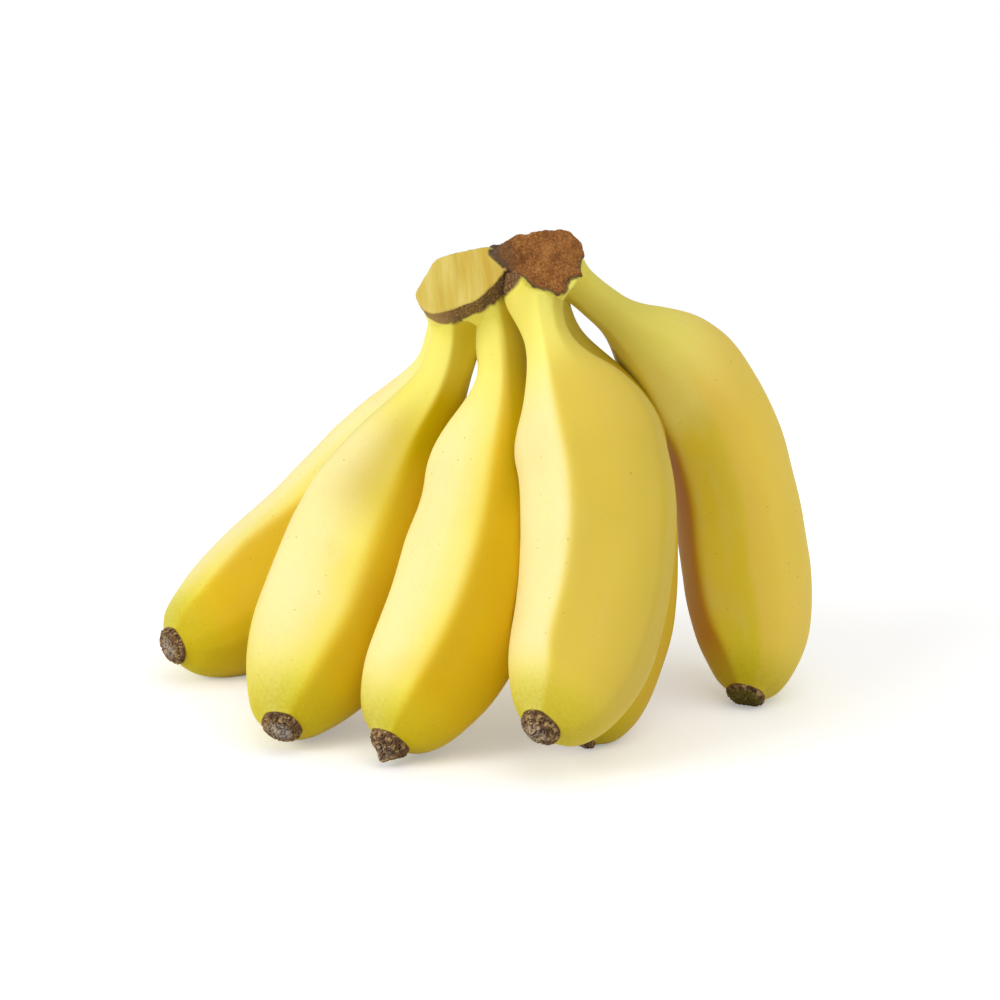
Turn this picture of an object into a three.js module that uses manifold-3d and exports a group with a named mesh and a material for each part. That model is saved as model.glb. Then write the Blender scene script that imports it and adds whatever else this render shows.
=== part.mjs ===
// A hand of six baby bananas, as picked: six fingers grown on one crown, standing on its
// fingertips. Millimetres, +Z up, -Y is the front. The origin lies on the surface that the
// hand stands on, below the middle of its bounding box.
import * as THREE from "three";
import { NURBSCurve } from "three/addons/curves/NURBSCurve.js";
import { ParametricGeometry } from "three/addons/geometries/ParametricGeometry.js";
import { mergeVertices } from "three/addons/utils/BufferGeometryUtils.js";
import Module from "manifold-3d";

const wasm = await Module();
wasm.setup();

// ---- Driving dimensions -------------------------------------------------------------

const PIECE_GAP = 0.3; // between pieces that touch
const TIP_RADIUS = 4.3; // where the peel ends at the dried flower
const TIP_STRETCH = 1.2; // how much of the end has the tip's own radius
const TIP_BLUNTNESS = 2.2; // exponent of the rounded tail, 2 is an ellipse
const ROOT_FLARE = 1.2; // how much a neck widens where it enters the crown
const ROOT_FLARE_LENGTH = 4;
const ROOT_ROUNDING = 5; // length of the round dome that a neck starts as, in the crown
const ROOT_START = 0.06; // share of that dome that is cut off flat
const HEEL_PLACE = 9; // how far from the root a neck's heel bulges most
const HEEL_SPREAD = 5.5;
const FULLNESS_BLEND = 0.6; // how far a station's fullness reaches, in stations
const RIDGES = 5; // a banana has five long ridges
const RIDGE_SHARE = 0.72; // how strongly the front ridge shows on the body, from 0 to 1
const NECK_RIDGE_SHARE = 0.4; // and on the neck
const SIDE_RIDGE_SHARE = 0.45; // how much of that the ridges away from the front one keep
const FRONT_WIDTH = 50; // degrees from the front ridge within which ridges show fully
const SIDES = 25; // facets round a finger, a multiple of its ridges
const RINGS = 29; // rings along a finger
const ROOT_RINGS = [0, 1.2, 3]; // how far from the root its first rings are
const RING_CROWDING = 1.5; // 1 spaces the rings evenly, more crowds them towards the tip

// The middle of the hand's bounding box in the frame that the routes below are given in, and
// the height there of the surface it stands on, which presses small flat faces into it.
const HAND_CENTRE = [-4.04, 19.8, 0.3];

// Each finger: the control points of its centre line from the crown to the tip; the radius
// of its belly and neck; the lengths of its neck, shoulder and rounded tail; the turn of its
// front ridge from straight ahead towards the right, the twist along its length and the
// exponent of its section, which is sharper when higher; factors on its radius at even
// stations; and how far its heel bulges and in which direction, like the ridge's turn.
// They are listed from the front to the back, because each grew pressed against those before.
const FINGERS = [
  {
    name: "front",
    route: [
      [8.6, 11, 110.8], [7.4, 5.5, 96.7], [17.9, -4, 81.5], [23.7, -10.7, 59.3],
      [21.4, -17.2, 34.3], [15.9, -22.4, 19.6], [8.9, -32, 13.8],
    ],
    belly: 16.5, neck: 5.3, neckLength: 17, shoulderLength: 29, tailLength: 35,
    ridgeTurn: -20, ridgeTwist: -46, sharpness: 20,
    fullness: [0.98, 0.9, 0.94, 1.08, 0.98, 1.06, 1.04, 1.01, 1.04, 1.05, 0.97],
    heel: { bulge: 2.8, turn: -75 },
  },
  {
    name: "middle",
    route: [
      [-2.4, 14, 103.1], [2, 14.6, 88.1], [0.5, 10.2, 70.9], [-1.9, 3.9, 45.7],
      [-11, -5.4, 24.8], [-19.8, -13, 12.8], [-24.9, -20, 5.8],
    ],
    belly: 16.1, neck: 5.3, neckLength: 17, shoulderLength: 29, tailLength: 29,
    ridgeTurn: -8, ridgeTwist: -20, sharpness: 20,
    fullness: [1.11, 1.07, 1.14, 0.91, 1.17, 1.01, 0.98, 0.89],
    heel: { bulge: 0, turn: 0 },
  },
  {
    name: "left",
    route: [
      [-10.5, 11, 101.7], [-9.3, 15.8, 86.3], [-19.4, 25.7, 69.5], [-28.2, 25.3, 46],
      [-39, 16.5, 23.3], [-46.4, -2.4, 13.5], [-49.7, -12.8, 7],
    ],
    belly: 16.6, neck: 5.8, neckLength: 18, shoulderLength: 43, tailLength: 32,
    ridgeTurn: 1, ridgeTwist: 3, sharpness: 14,
    fullness: [0.71, 1.11, 0.95, 1.05, 1.2, 1.11, 1.05, 0.74],
    heel: { bulge: 0, turn: 0 },
  },
  {
    name: "far_left",
    route: [
      [-10.6, 19.1, 103], [-12.4, 29.6, 85.2], [-19.3, 47.6, 66.4], [-34.6, 59.5, 42],
      [-53.7, 58.1, 20.7], [-69.8, 45.6, 12.4], [-80, 36.9, 10.2],
    ],
    belly: 15.7, neck: 4.7, neckLength: 22, shoulderLength: 47, tailLength: 38,
    ridgeTurn: -40, ridgeTwist: -46, sharpness: 18,
    fullness: [1.02, 0.96, 1.03, 0.83, 1.08, 1.13, 1.14, 0.89],
    heel: { bulge: 0, turn: 0 },
  },
  {
    name: "right",
    route: [
      [12.9, 16.2, 108.4], [26, 20.2, 95], [40.3, 35.3, 84.6], [55.7, 43.8, 59.3],
      [59.3, 36.6, 29.4], [62.1, 28.1, 11.3], [58.7, 20.3, 3.2],
    ],
    belly: 15.2, neck: 4.6, neckLength: 17, shoulderLength: 37, tailLength: 36,
    ridgeTurn: -42, ridgeTwist: -7, sharpness: 12,
    fullness: [0.95, 0.93, 1.07, 1.03, 0.89, 0.96, 0.97, 1.04, 1.02, 1.02, 0.77],
    heel: { bulge: 0, turn: 0 },
  },
  {
    name: "behind",
    route: [
      [8.4, 17.1, 107], [11.8, 23, 92.9], [22.6, 25.1, 77], [27, 23.6, 48.2],
      [27.7, 13.3, 23.5], [23.3, -2.8, 10.5], [17.6, -7.8, 3.2],
    ],
    belly: 14.1, neck: 4.6, neckLength: 16, shoulderLength: 33, tailLength: 34,
    ridgeTurn: 17, ridgeTwist: 7, sharpness: 14,
    fullness: [0.99, 0.98, 1.13, 0.97, 1.04, 1.01, 0.86, 0.96],
    heel: { bulge: 0, turn: 0 },
  },
];

// The crown is two lobes grown together, each cut flat at its front. A lobe is the rounded
// outline of its cut, whose corners lie to the right and up from a point on the cut, carried
// back along its axis and rounded off at the end.
const LOBES = [
  {
    // the fresh cut
    point: [-9.2, 8, 105.5],
    normal: [-0.28, -0.62, 0.72],
    axis: [-0.27, -0.75, 0.6],
    depth: 17,
    outline: [
      [-8.5, 6.6], [0.2, 9.7], [2.7, 11.1], [4.6, 9.4], [10, 5], [9.2, 2.3],
      [6.5, -2.9], [5.5, -4.1], [0, -7.8], [-4, -8.8], [-6.8, -8.2], [-9.8, -4],
      [-9.7, -2.6], [-8.3, 4.7],
    ],
  },
  {
    // the old, dried cut
    point: [9.3, 6.2, 110.8],
    normal: [0.13, -0.79, 0.6],
    axis: [0.35, -0.82, 0.45],
    depth: 16,
    outline: [
      [-9.1, 5.2], [-0.7, 6.8], [4.7, 7.6], [7.2, 7.7], [8.8, 5.2], [10.2, 2.6],
      [8.9, -3.8], [6.2, -7.3], [3.8, -9], [-2.1, -6.5], [-3.9, -4.7], [-7.8, 2.9],
    ],
  },
];
const LOBE_RINGS = 12;
const LOBE_SIDES = 40;
const LOBE_BLUNTNESS = 3; // exponent of its rounded back, 2 is an ellipse

// The knob of dried skin between the two lobes.
const KNOB = { middle: [-1.1, 13.9, 110.9], radius: 2.7, behindCut: 0.4 };

const CUT_REACH = 40; // size of the block that a cut takes away from the necks
const FLOOR_SIZE = 250;

// The dried flower at each tip: radius and height of each step of its outline.
const BLOSSOM_END = {
  outline: [[0, 0], [4.2, 0], [4.0, 1.0], [3.0, 1.9], [1.5, 2.4], [0, 2.5]],
  sides: 14,
};

// ---- Finishes -----------------------------------------------------------------------

const PEEL = new THREE.MeshStandardMaterial({ color: "#f2dc6c", roughness: 0.5, metalness: 0 });
const CROWN_SKIN = new THREE.MeshStandardMaterial({ color: "#c9ad55", roughness: 0.8, metalness: 0 });
const DRIED_FLOWER = new THREE.MeshStandardMaterial({ color: "#5b4234", roughness: 0.95, metalness: 0 });

// ---- Solids -------------------------------------------------------------------------

/** A closed three.js geometry as a manifold-3d solid. */
function solidOf(geometry) {
  const bare = geometry.clone();
  bare.deleteAttribute("normal");
  bare.deleteAttribute("uv");
  const merged = mergeVertices(bare, 1e-4);
  return new wasm.Manifold(
    new wasm.Mesh({
      numProp: 3,
      vertProperties: merged.attributes.position.array,
      triVerts: new Uint32Array(merged.index.array),
    }),
  );
}

/** A manifold-3d solid as a flat-shaded three.js geometry. */
function geometryOf(solid) {
  const mesh = solid.getMesh();
  const geometry = new THREE.BufferGeometry();
  geometry.setAttribute("position", new THREE.BufferAttribute(mesh.vertProperties, 3));
  geometry.setIndex(new THREE.BufferAttribute(mesh.triVerts, 1));
  geometry.computeVertexNormals();
  return geometry;
}

/** The largest of the separate bodies of a solid. */
function largestBody(solid) {
  return solid.decompose().sort((a, b) => b.volume() - a.volume())[0];
}

/** A block whose face is centred on a point, on the side that normal points to. */
function blockBeyond(point, normal, size) {
  const block = new THREE.BoxGeometry(size, size, size);
  block.translate(0, 0, size / 2);
  const up = new THREE.Vector3(0, 0, 1);
  const outward = new THREE.Vector3(...normal).normalize();
  block.applyQuaternion(new THREE.Quaternion().setFromUnitVectors(up, outward));
  block.translate(...point);
  return solidOf(block);
}

// ---- Fingers ------------------------------------------------------------------------

/** The smooth centre line that the control points pull: a clamped cubic B-spline. */
function centreLine(route) {
  const degree = 3;
  const spans = route.length - degree;
  const inner = Array.from({ length: spans - 1 }, (_, i) => i + 1);
  const ends = degree + 1;
  const knots = [...Array(ends).fill(0), ...inner, ...Array(ends).fill(spans)];
  const points = route.map(([x, y, z]) => new THREE.Vector4(x, y, z, 1));
  return new NURBSCurve(degree, knots, points);
}

/** How full a finger is at a distance: its stations, each weighted by a bell curve. */
function fullnessAt(finger, distance, length) {
  const step = length / (finger.fullness.length - 1);
  const bells = finger.fullness.map((_, station) =>
    Math.exp(-0.5 * ((distance - station * step) / (FULLNESS_BLEND * step)) ** 2),
  );
  const sum = bells.reduce((total, bell) => total + bell, 0);
  return bells.reduce((total, bell, i) => total + bell * finger.fullness[i], 0) / sum;
}

/** How far a neck has swollen to the body at a distance, from 0 to 1. */
function swellAt({ neckLength, shoulderLength }, distance) {
  return THREE.MathUtils.smoothstep(distance, neckLength, neckLength + shoulderLength);
}

/** The radius at a distance along a finger: neck, swelling shoulder, belly, rounded tail. */
function radiusAt(finger, distance, length) {
  const { belly, neck, tailLength } = finger;
  const body = neck + (belly - neck) * swellAt(finger, distance);
  const full = body * fullnessAt(finger, distance, length);
  const tail = (distance - length + tailLength) / (tailLength - TIP_STRETCH);
  const intoTail = THREE.MathUtils.clamp(tail, 0, 1);
  const rounding = (1 - intoTail ** TIP_BLUNTNESS) ** (1 / TIP_BLUNTNESS);
  const flare = ROOT_FLARE * Math.exp(-((distance / ROOT_FLARE_LENGTH) ** 2));
  const rooted = THREE.MathUtils.clamp(ROOT_START + distance / ROOT_ROUNDING, 0, 1);
  const dome = Math.sqrt(1 - (1 - rooted) ** 2);
  return (TIP_RADIUS + (full - TIP_RADIUS) * rounding + flare) * dome;
}

/** How far a softened five-sided section reaches at an angle from its front ridge. */
function pentagonReach(angle, sharpness) {
  let sum = 0;
  for (let face = 0; face < RIDGES; face += 1) {
    const middle = ((face + 0.5) * 2 * Math.PI) / RIDGES;
    sum += Math.max(0, Math.cos(angle - middle)) ** sharpness;
  }
  return sum ** (-1 / sharpness);
}

/** The average of the section's reach over half a face. */
function meanReach(sharpness) {
  const steps = 40;
  let sum = 0;
  for (let step = 0; step < steps; step += 1) {
    sum += pentagonReach(((step + 0.5) / steps) * (Math.PI / RIDGES), sharpness);
  }
  return sum / steps;
}

/** The factor on the radius at an angle from the front ridge, 1 on average. */
function sectionAt(finger, angle, distance, length) {
  const reach = pentagonReach(angle, finger.sharpness) / meanReach(finger.sharpness);
  const ending = THREE.MathUtils.smoothstep(length - distance, 0, finger.tailLength / 2);
  const body = (RIDGE_SHARE - NECK_RIDGE_SHARE) * swellAt(finger, distance) * ending;
  const narrow = Math.sin(THREE.MathUtils.degToRad(FRONT_WIDTH) / 2);
  const front = Math.exp(-((Math.sin(angle / 2) / narrow) ** 2));
  const kept = (NECK_RIDGE_SHARE + body) * (SIDE_RIDGE_SHARE + (1 - SIDE_RIDGE_SHARE) * front);
  return 1 + (reach - 1) * kept;
}

/** How far the heel bulges at an angle from straight ahead. */
function heelAt({ heel }, angle, distance) {
  const around = Math.max(0, Math.cos(angle - THREE.MathUtils.degToRad(heel.turn))) ** 2;
  return heel.bulge * around * Math.exp(-(((distance - HEEL_PLACE) / HEEL_SPREAD) ** 2));
}

/** How far from the root a ring is, counted from 0. */
function ringDistance(ring, length) {
  if (ring < ROOT_RINGS.length) return ROOT_RINGS[ring];
  const start = ROOT_RINGS.at(-1);
  const share = (ring - ROOT_RINGS.length + 1) / (RINGS - 1 - ROOT_RINGS.length);
  return start + (length - start) * (1 - (1 - Math.min(share, 1)) ** RING_CROWDING);
}

/** The closed surface of a finger, from the middle of its root to the middle of its tip,
 * grown by a margin all round. */
function fingerGeometry(finger, margin) {
  const line = centreLine(finger.route);
  const length = line.getLength();
  const front = new THREE.Vector3(0, -1, 0);
  const surface = (u, v, target) => {
    const row = Math.round(v * RINGS);
    const pole = row === 0 || row === RINGS;
    const distance = ringDistance(THREE.MathUtils.clamp(row - 1, 0, RINGS - 2), length);
    const share = distance / length;
    const centre = line.getPointAt(share);
    const along = line.getTangentAt(share);
    const ahead = front.clone().addScaledVector(along, -front.dot(along)).normalize();
    const aside = new THREE.Vector3().crossVectors(ahead, along);
    const fromRidge = -u * 2 * Math.PI;
    const turn = finger.ridgeTurn + finger.ridgeTwist * (share - 0.5);
    const angle = fromRidge + THREE.MathUtils.degToRad(turn);
    const section = sectionAt(finger, fromRidge, distance, length);
    const reach = radiusAt(finger, distance, length) * section + heelAt(finger, angle, distance);
    const radius = pole ? 0 : reach + margin;
    target.copy(centre);
    target.addScaledVector(ahead, radius * Math.cos(angle));
    target.addScaledVector(aside, radius * Math.sin(angle));
  };
  return new ParametricGeometry(surface, SIDES, RINGS);
}

/** The dried flower, standing a gap beyond the tip of a finger and pointing along it. */
function blossomEndGeometry(finger) {
  const line = centreLine(finger.route);
  const outline = BLOSSOM_END.outline.map(([radius, height]) => new THREE.Vector2(radius, height));
  const geometry = new THREE.LatheGeometry(outline, BLOSSOM_END.sides);
  geometry.translate(0, PIECE_GAP, 0);
  const up = new THREE.Vector3(0, 1, 0);
  geometry.applyQuaternion(new THREE.Quaternion().setFromUnitVectors(up, line.getTangentAt(1)));
  const tip = line.getPointAt(1);
  geometry.translate(tip.x, tip.y, tip.z);
  return geometry;
}

// ---- Crown --------------------------------------------------------------------------

/** The rounded outline of a cut: a closed cubic B-spline that its corners pull. */
function roundedOutline(corners) {
  const degree = 3;
  const wrapped = [...corners, ...corners.slice(0, degree)];
  const knots = Array.from({ length: wrapped.length + degree + 1 }, (_, i) => i);
  const points = wrapped.map(([x, y]) => new THREE.Vector4(x, y, 0, 1));
  return new NURBSCurve(degree, knots, points, degree, wrapped.length);
}

/** One lobe of the crown, grown by a margin all round. */
function lobeSolid(lobe, margin) {
  const out = new THREE.Vector3(...lobe.normal).normalize();
  const axis = new THREE.Vector3(...lobe.axis).normalize();
  const up = new THREE.Vector3(0, 0, 1).addScaledVector(out, -out.z).normalize();
  const right = new THREE.Vector3().crossVectors(up, out);
  const start = new THREE.Vector3(...lobe.point).addScaledVector(axis, margin);
  const depth = lobe.depth + 2 * margin;
  const outline = roundedOutline(lobe.outline);
  const surface = (u, v, target) => {
    const share = THREE.MathUtils.clamp((v * LOBE_RINGS - 1) / (LOBE_RINGS - 1), 0, 1);
    const back = Math.sin((share * Math.PI) / 2);
    const width = v < 1e-3 ? 0 : (1 - back ** LOBE_BLUNTNESS) ** (1 / LOBE_BLUNTNESS);
    const edge = outline.getPoint(v > 1 - 1e-3 ? 0 : u);
    const grown = (1 + margin / Math.hypot(edge.x, edge.y)) * (v > 1 - 1e-3 ? 0 : width);
    target.copy(start).addScaledVector(axis, -depth * back);
    target.addScaledVector(right, edge.x * grown).addScaledVector(up, edge.y * grown);
  };
  return solidOf(new ParametricGeometry(surface, LOBE_SIDES, LOBE_RINGS));
}

/** The block that a cut takes away from the necks, its face moved outwards by a margin. */
function cutBlock(lobe, margin) {
  const outward = new THREE.Vector3(...lobe.normal).normalize();
  const face = outward.multiplyScalar(margin).add(new THREE.Vector3(...lobe.point));
  return blockBeyond(face.toArray(), lobe.normal, CUT_REACH);
}

/** The crown, grown by a margin all round. */
function crownSolid(margin) {
  const ball = new THREE.IcosahedronGeometry(KNOB.radius + margin, 2);
  ball.translate(...KNOB.middle);
  const [fresh, dried] = LOBES.map((lobe) => lobeSolid(lobe, margin));
  const knob = solidOf(ball).subtract(cutBlock(LOBES[0], -KNOB.behindCut));
  return fresh.add(dried).add(knob);
}

// ---- The hand -----------------------------------------------------------------------

const hand = new THREE.Group();
hand.position.set(-HAND_CENTRE[0], -HAND_CENTRE[1], -HAND_CENTRE[2]);

/** Adds a named mesh to the hand. */
function add(name, geometry, material) {
  const mesh = new THREE.Mesh(geometry, material);
  mesh.name = name;
  hand.add(mesh);
}

add("crown", geometryOf(crownSolid(0)), CROWN_SKIN);

// What a finger has to leave free: the crown, which takes the top of its neck, whatever the
// two cuts took away, the surface below, which presses a small flat face into what rests on
// it, and the fingers before it in the list, which it grew against.
const below = blockBeyond([0, 0, HAND_CENTRE[2]], [0, 0, -1], FLOOR_SIZE);
let taken = crownSolid(PIECE_GAP).add(below);
for (const lobe of LOBES) taken = taken.add(cutBlock(lobe, -PIECE_GAP));

for (const finger of FINGERS) {
  const body = largestBody(solidOf(fingerGeometry(finger, 0)).subtract(taken));
  add(`finger_${finger.name}`, geometryOf(body), PEEL);
  const flower = largestBody(solidOf(blossomEndGeometry(finger)).subtract(below));
  add(`blossom_end_${finger.name}`, geometryOf(flower), DRIED_FLOWER);
  taken = taken.add(solidOf(fingerGeometry(finger, PIECE_GAP)));
}

export default hand;
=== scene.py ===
"""A hand of six baby bananas standing on its fingertips, in soft studio light.

The hand's lengths are millimetres, and a mesh is turned to metres when it is handed to
Blender. The finishes and the studio are in metres. +Z is up, -Y is the front and +X is the
right-hand side. Routes and places share one frame, and every mesh is moved by HAND_CENTRE into
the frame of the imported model.
"""

import logging
import math
from dataclasses import dataclass, field
from enum import Enum
from typing import Any, Sequence

import bpy
import numpy as np
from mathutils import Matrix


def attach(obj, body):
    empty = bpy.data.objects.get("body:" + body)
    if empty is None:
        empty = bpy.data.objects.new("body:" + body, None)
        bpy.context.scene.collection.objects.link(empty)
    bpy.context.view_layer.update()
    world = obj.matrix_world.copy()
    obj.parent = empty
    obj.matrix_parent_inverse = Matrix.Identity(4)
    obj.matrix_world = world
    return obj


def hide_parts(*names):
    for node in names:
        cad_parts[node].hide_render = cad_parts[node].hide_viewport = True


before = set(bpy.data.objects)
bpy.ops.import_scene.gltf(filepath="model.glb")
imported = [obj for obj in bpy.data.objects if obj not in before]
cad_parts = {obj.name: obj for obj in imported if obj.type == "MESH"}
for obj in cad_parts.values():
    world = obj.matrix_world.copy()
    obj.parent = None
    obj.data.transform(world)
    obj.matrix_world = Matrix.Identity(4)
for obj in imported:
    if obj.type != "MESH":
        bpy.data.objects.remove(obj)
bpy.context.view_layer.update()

log = logging.getLogger("hand")

MM = 0.001
BODY = "root"
FULL_TURN = 2 * math.pi
FRONT = np.array([0.0, -1.0, 0.0])
UP = np.array([0.0, 0.0, 1.0])
WHITE = (1.0, 1.0, 1.0, 1.0)

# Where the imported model's origin is in the frame of the routes. Its height is that of the
# surface that the hand stands on.
HAND_CENTRE = np.array([-4.04, 19.8, 0.3])

PIECE_GAP = 0.12  # between fingers that press on each other
TIP_RADIUS = 4.3  # where the peel ends at the dried flower

Array = np.ndarray
Triple = tuple[float, float, float]
Colour = tuple[float, float, float, float]


# ---- Numbers ----


def colour(red: int, green: int, blue: int) -> Colour:
    """The linear colour that a shader takes for a display colour of 0 to 255 a channel."""
    shares = [channel / 255 for channel in (red, green, blue)]
    return (*(s / 12.92 if s <= 0.04045 else ((s + 0.055) / 1.055) ** 2.4 for s in shares), 1.0)


def smoothstep(value: Array, start: float, end: float) -> Array:
    """3t^2 - 2t^3, where t goes from 0 at start to 1 at end, which may be the lower one."""
    share = np.clip((value - start) / (end - start), 0.0, 1.0)
    return share * share * (3 - 2 * share)


def bell(offset: Array) -> Array:
    """A bell curve, exp(-offset^2)."""
    return np.exp(-(offset**2))


def unit(vectors: Array) -> Array:
    """The vectors along the last axis, each divided by its length."""
    return vectors / np.maximum(np.linalg.norm(vectors, axis=-1, keepdims=True), 1e-12)


def joined(*parts: Any) -> Array:
    """The parts, spread to one shape and set side by side along a new last axis."""
    return np.stack(np.broadcast_arrays(*parts), axis=-1)


def even_turns(sides: int) -> Array:
    """Evenly spaced angles round a whole turn, as one row."""
    return np.linspace(0, FULL_TURN, sides, endpoint=False)[None, :]


def rounding(gap: Array, reach: Any) -> Array:
    """How deep a fillet lies, (reach - |gap|)^2 / (4 reach), where a gap is within reach."""
    return np.maximum(0.0, reach - np.abs(gap)) ** 2 / (4 * reach)


def soft_union(first: Array, second: Array, reach: float) -> Array:
    """The lower of two distances, less the rounding where they are within reach."""
    return np.minimum(first, second) - rounding(first - second, reach)


def soft_cut(first: Array, second: Array, reach: float) -> Array:
    """The higher of two distances, rounded in the same way: the body that both surfaces bound."""
    return -soft_union(-first, -second, reach)


def lattice_noise(points: Array, seed: int) -> Array:
    """Smooth noise from -1 to 1 that changes over about one unit.

    Each corner of a unit lattice gets a number from a hash of its whole coordinates, and a
    point's value is the smooth mixture of its cell's eight corners.

    Args:
        points: Positions, with x, y and z along the last axis.
        seed: Which pattern to read.

    Returns:
        One value for each point.
    """
    cell = np.floor(points).astype(np.int64)
    share = points - cell
    share = share**3 * (share * (share * 6 - 15) + 10)
    total = np.zeros(points.shape[:-1])
    for corner in np.ndindex(2, 2, 2):
        offset = np.array(corner)
        key = (cell + offset).astype(np.uint64)
        mixed = np.full(total.shape, seed * 2654435761 + 97, np.uint64)
        for axis, prime in enumerate((73856093, 19349663, 83492791)):
            mixed ^= key[..., axis] * np.uint64(prime)
        mixed ^= mixed >> np.uint64(13)
        mixed *= np.uint64(1274126177)
        mixed ^= mixed >> np.uint64(16)
        value = (mixed & np.uint64(0xFFFF)).astype(float) / 32767.5 - 1
        total += np.prod(np.where(offset == 1, share, 1 - share), axis=-1) * value
    return total


def layered_noise(points: Array, seed: int, layers: int = 3) -> Array:
    """Lattice noise summed over layers, each of half the size and half the strength."""
    finer = (2.0**layer for layer in range(layers))
    return sum(lattice_noise(points * k + 17.3 * n, seed + n) / k for n, k in enumerate(finer))


# ---- Meshes ----


def turned_grid_normals(points: Array) -> Array:
    """Outward normals of a grid of points whose rows are closed rings round a body.

    The normal is the cross product of the step round the ring and the step to the next ring.

    Args:
        points: Positions, as rings by sides by 3.

    Returns:
        Unit normals of the same shape.
    """
    around = np.roll(points, -1, axis=1) - np.roll(points, 1, axis=1)
    normals = unit(np.cross(around, np.gradient(points, axis=0)))
    return normals * np.sign(np.sum(normals * (points - points.mean(axis=1, keepdims=True))))


def linked(name: str, data: Any) -> bpy.types.Object:
    """A new object at the origin of the scene.

    Args:
        name: The object's name.
        data: Its mesh, lamp or camera.

    Returns:
        The object.
    """
    thing = bpy.data.objects.new(name, data)
    bpy.context.scene.collection.objects.link(thing)
    return thing


def closed_mesh(
    name: str, rings: Array, poles: Array, attributes: dict[str, Array]
) -> bpy.types.Object:
    """A closed smooth mesh from a stack of closed rings and a pole at each end.

    Quads join each ring to the next, and a fan of triangles joins each end ring to its pole.

    Args:
        name: The object's name.
        rings: Positions in millimetres, as rings by sides by 3.
        poles: The two end points, in millimetres.
        attributes: Numbers that spread to rings by sides, or vectors as rings by sides by 3.

    Returns:
        The new object, at the origin.
    """
    count, sides = rings.shape[:2]
    points = np.concatenate([rings.reshape(-1, 3), poles]) - HAND_CENTRE
    index = np.arange(count * sides).reshape(count, sides)
    after = np.roll(index, -1, axis=1)
    quads = joined(index[:-1], after[:-1], after[1:], index[1:]).reshape(-1, 4)
    near_fan = joined(count * sides, after[0], index[0])
    far_fan = joined(count * sides + 1, index[-1], after[-1])
    corners = [points[quads[:, k]] for k in range(3)]
    normal = np.cross(corners[1] - corners[0], corners[2] - corners[0])
    if np.sum(normal * (corners[0] - points.mean(axis=0))) < 0:
        quads, near_fan, far_fan = quads[:, ::-1], near_fan[:, ::-1], far_fan[:, ::-1]
    mesh = bpy.data.meshes.new(name)
    faces = quads.tolist() + near_fan.tolist() + far_fan.tolist()
    mesh.from_pydata((points * MM).tolist(), [], faces)
    mesh.polygons.foreach_set("use_smooth", [True] * len(mesh.polygons))
    for label, values in attributes.items():
        vector = values.ndim == 3
        full = values if vector else np.broadcast_to(values, (count, sides))
        ends = np.stack([full[0].mean(axis=0), full[-1].mean(axis=0)])
        every = np.concatenate([full.ravel(), ends.ravel()]).astype(np.float32)
        layer = mesh.attributes.new(label, "FLOAT_VECTOR" if vector else "FLOAT", "POINT")
        layer.data.foreach_set("vector" if vector else "value", every)
    mesh.update()
    return linked(name, mesh)


# ---- Centre lines ----


class CentreLine:
    """A clamped cubic B-spline that a few control points pull, read by its length."""

    DEGREE = 3
    SAMPLES = 900

    def __init__(self, route: Sequence[Sequence[float]]) -> None:
        """Samples the spline finely.

        Args:
            route: The control points, from the crown to the tip.
        """
        control = np.array(route, float)
        inner = np.linspace(0, 1, len(control) - self.DEGREE + 1)
        knots = np.pad(inner, self.DEGREE, mode="edge")
        self.points = self._basis(np.linspace(0, 1, self.SAMPLES), knots) @ control
        steps = np.linalg.norm(np.diff(self.points, axis=0), axis=1)
        self.distances = np.concatenate([[0.0], np.cumsum(steps)])
        self.length = float(self.distances[-1])
        self.tangents = unit(np.gradient(self.points, self.distances, axis=0, edge_order=2))

    def _basis(self, share: Array, knots: Array) -> Array:
        """The weight of each control point, by Cox and de Boor's recursion.

        Args:
            share: Places on the spline, from 0 to 1.
            knots: The knots.

        Returns:
            A row of weights for each place.
        """
        at = np.minimum(share, 1 - 1e-12)[:, None]
        weights = ((knots[:-1] <= at) & (at < knots[1:])).astype(float)
        for degree in range(1, self.DEGREE + 1):
            low, high = knots[: -degree - 1], knots[degree:-1]
            up = (at - low) / np.where(high > low, high - low, 1)
            far_low, far_high = knots[1:-degree], knots[degree + 1 :]
            down = (far_high - at) / np.where(far_high > far_low, far_high - far_low, 1)
            weights = up * weights[:, :-1] + down * weights[:, 1:]
        return weights

    def at(self, distance: Array) -> tuple[Array, Array]:
        """The points and unit tangents at distances along the line, one row each."""
        point, tangent = (
            joined(*(np.interp(distance, self.distances, column) for column in table.T))
            for table in (self.points, self.tangents)
        )
        return point, unit(tangent)


def facing(tangents: Array) -> tuple[Array, Array]:
    """The unit directions across each tangent: the one nearest the front, and that to its right."""
    ahead = unit(FRONT - (tangents @ FRONT)[..., None] * tangents)
    return ahead, np.cross(ahead, tangents)


# ---- Shader maths ----


class Value:
    """A socket that can be written into sums and products, each of which adds a Math node."""

    def __init__(self, tree: "Shader", socket: bpy.types.NodeSocket) -> None:
        """Wraps an output socket of a shader's tree."""
        self.tree = tree
        self.socket = socket

    def _math(self, operation: str, other: Any) -> "Value":
        """A Math node of this and another value."""
        return self.tree.node("ShaderNodeMath", {0: self, 1: other}, operation=operation)

    def __add__(self, other: Any) -> "Value":
        """This plus other."""
        return self._math("ADD", other)

    def __mul__(self, other: Any) -> "Value":
        """This times other."""
        return self._math("MULTIPLY", other)

    __radd__ = __add__
    __rmul__ = __mul__

    def clamped(self) -> "Value":
        """This, kept from 0 to 1."""
        return self.tree.node("ShaderNodeClamp", {"Value": self})

    def step(self, start: float, end: float) -> "Value":
        """A smooth step that is 0 at start and 1 at end."""
        inputs = {"Value": self, "From Min": start, "From Max": end}
        return self.tree.node("ShaderNodeMapRange", inputs, "Result", interpolation_type="SMOOTHSTEP")


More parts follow.
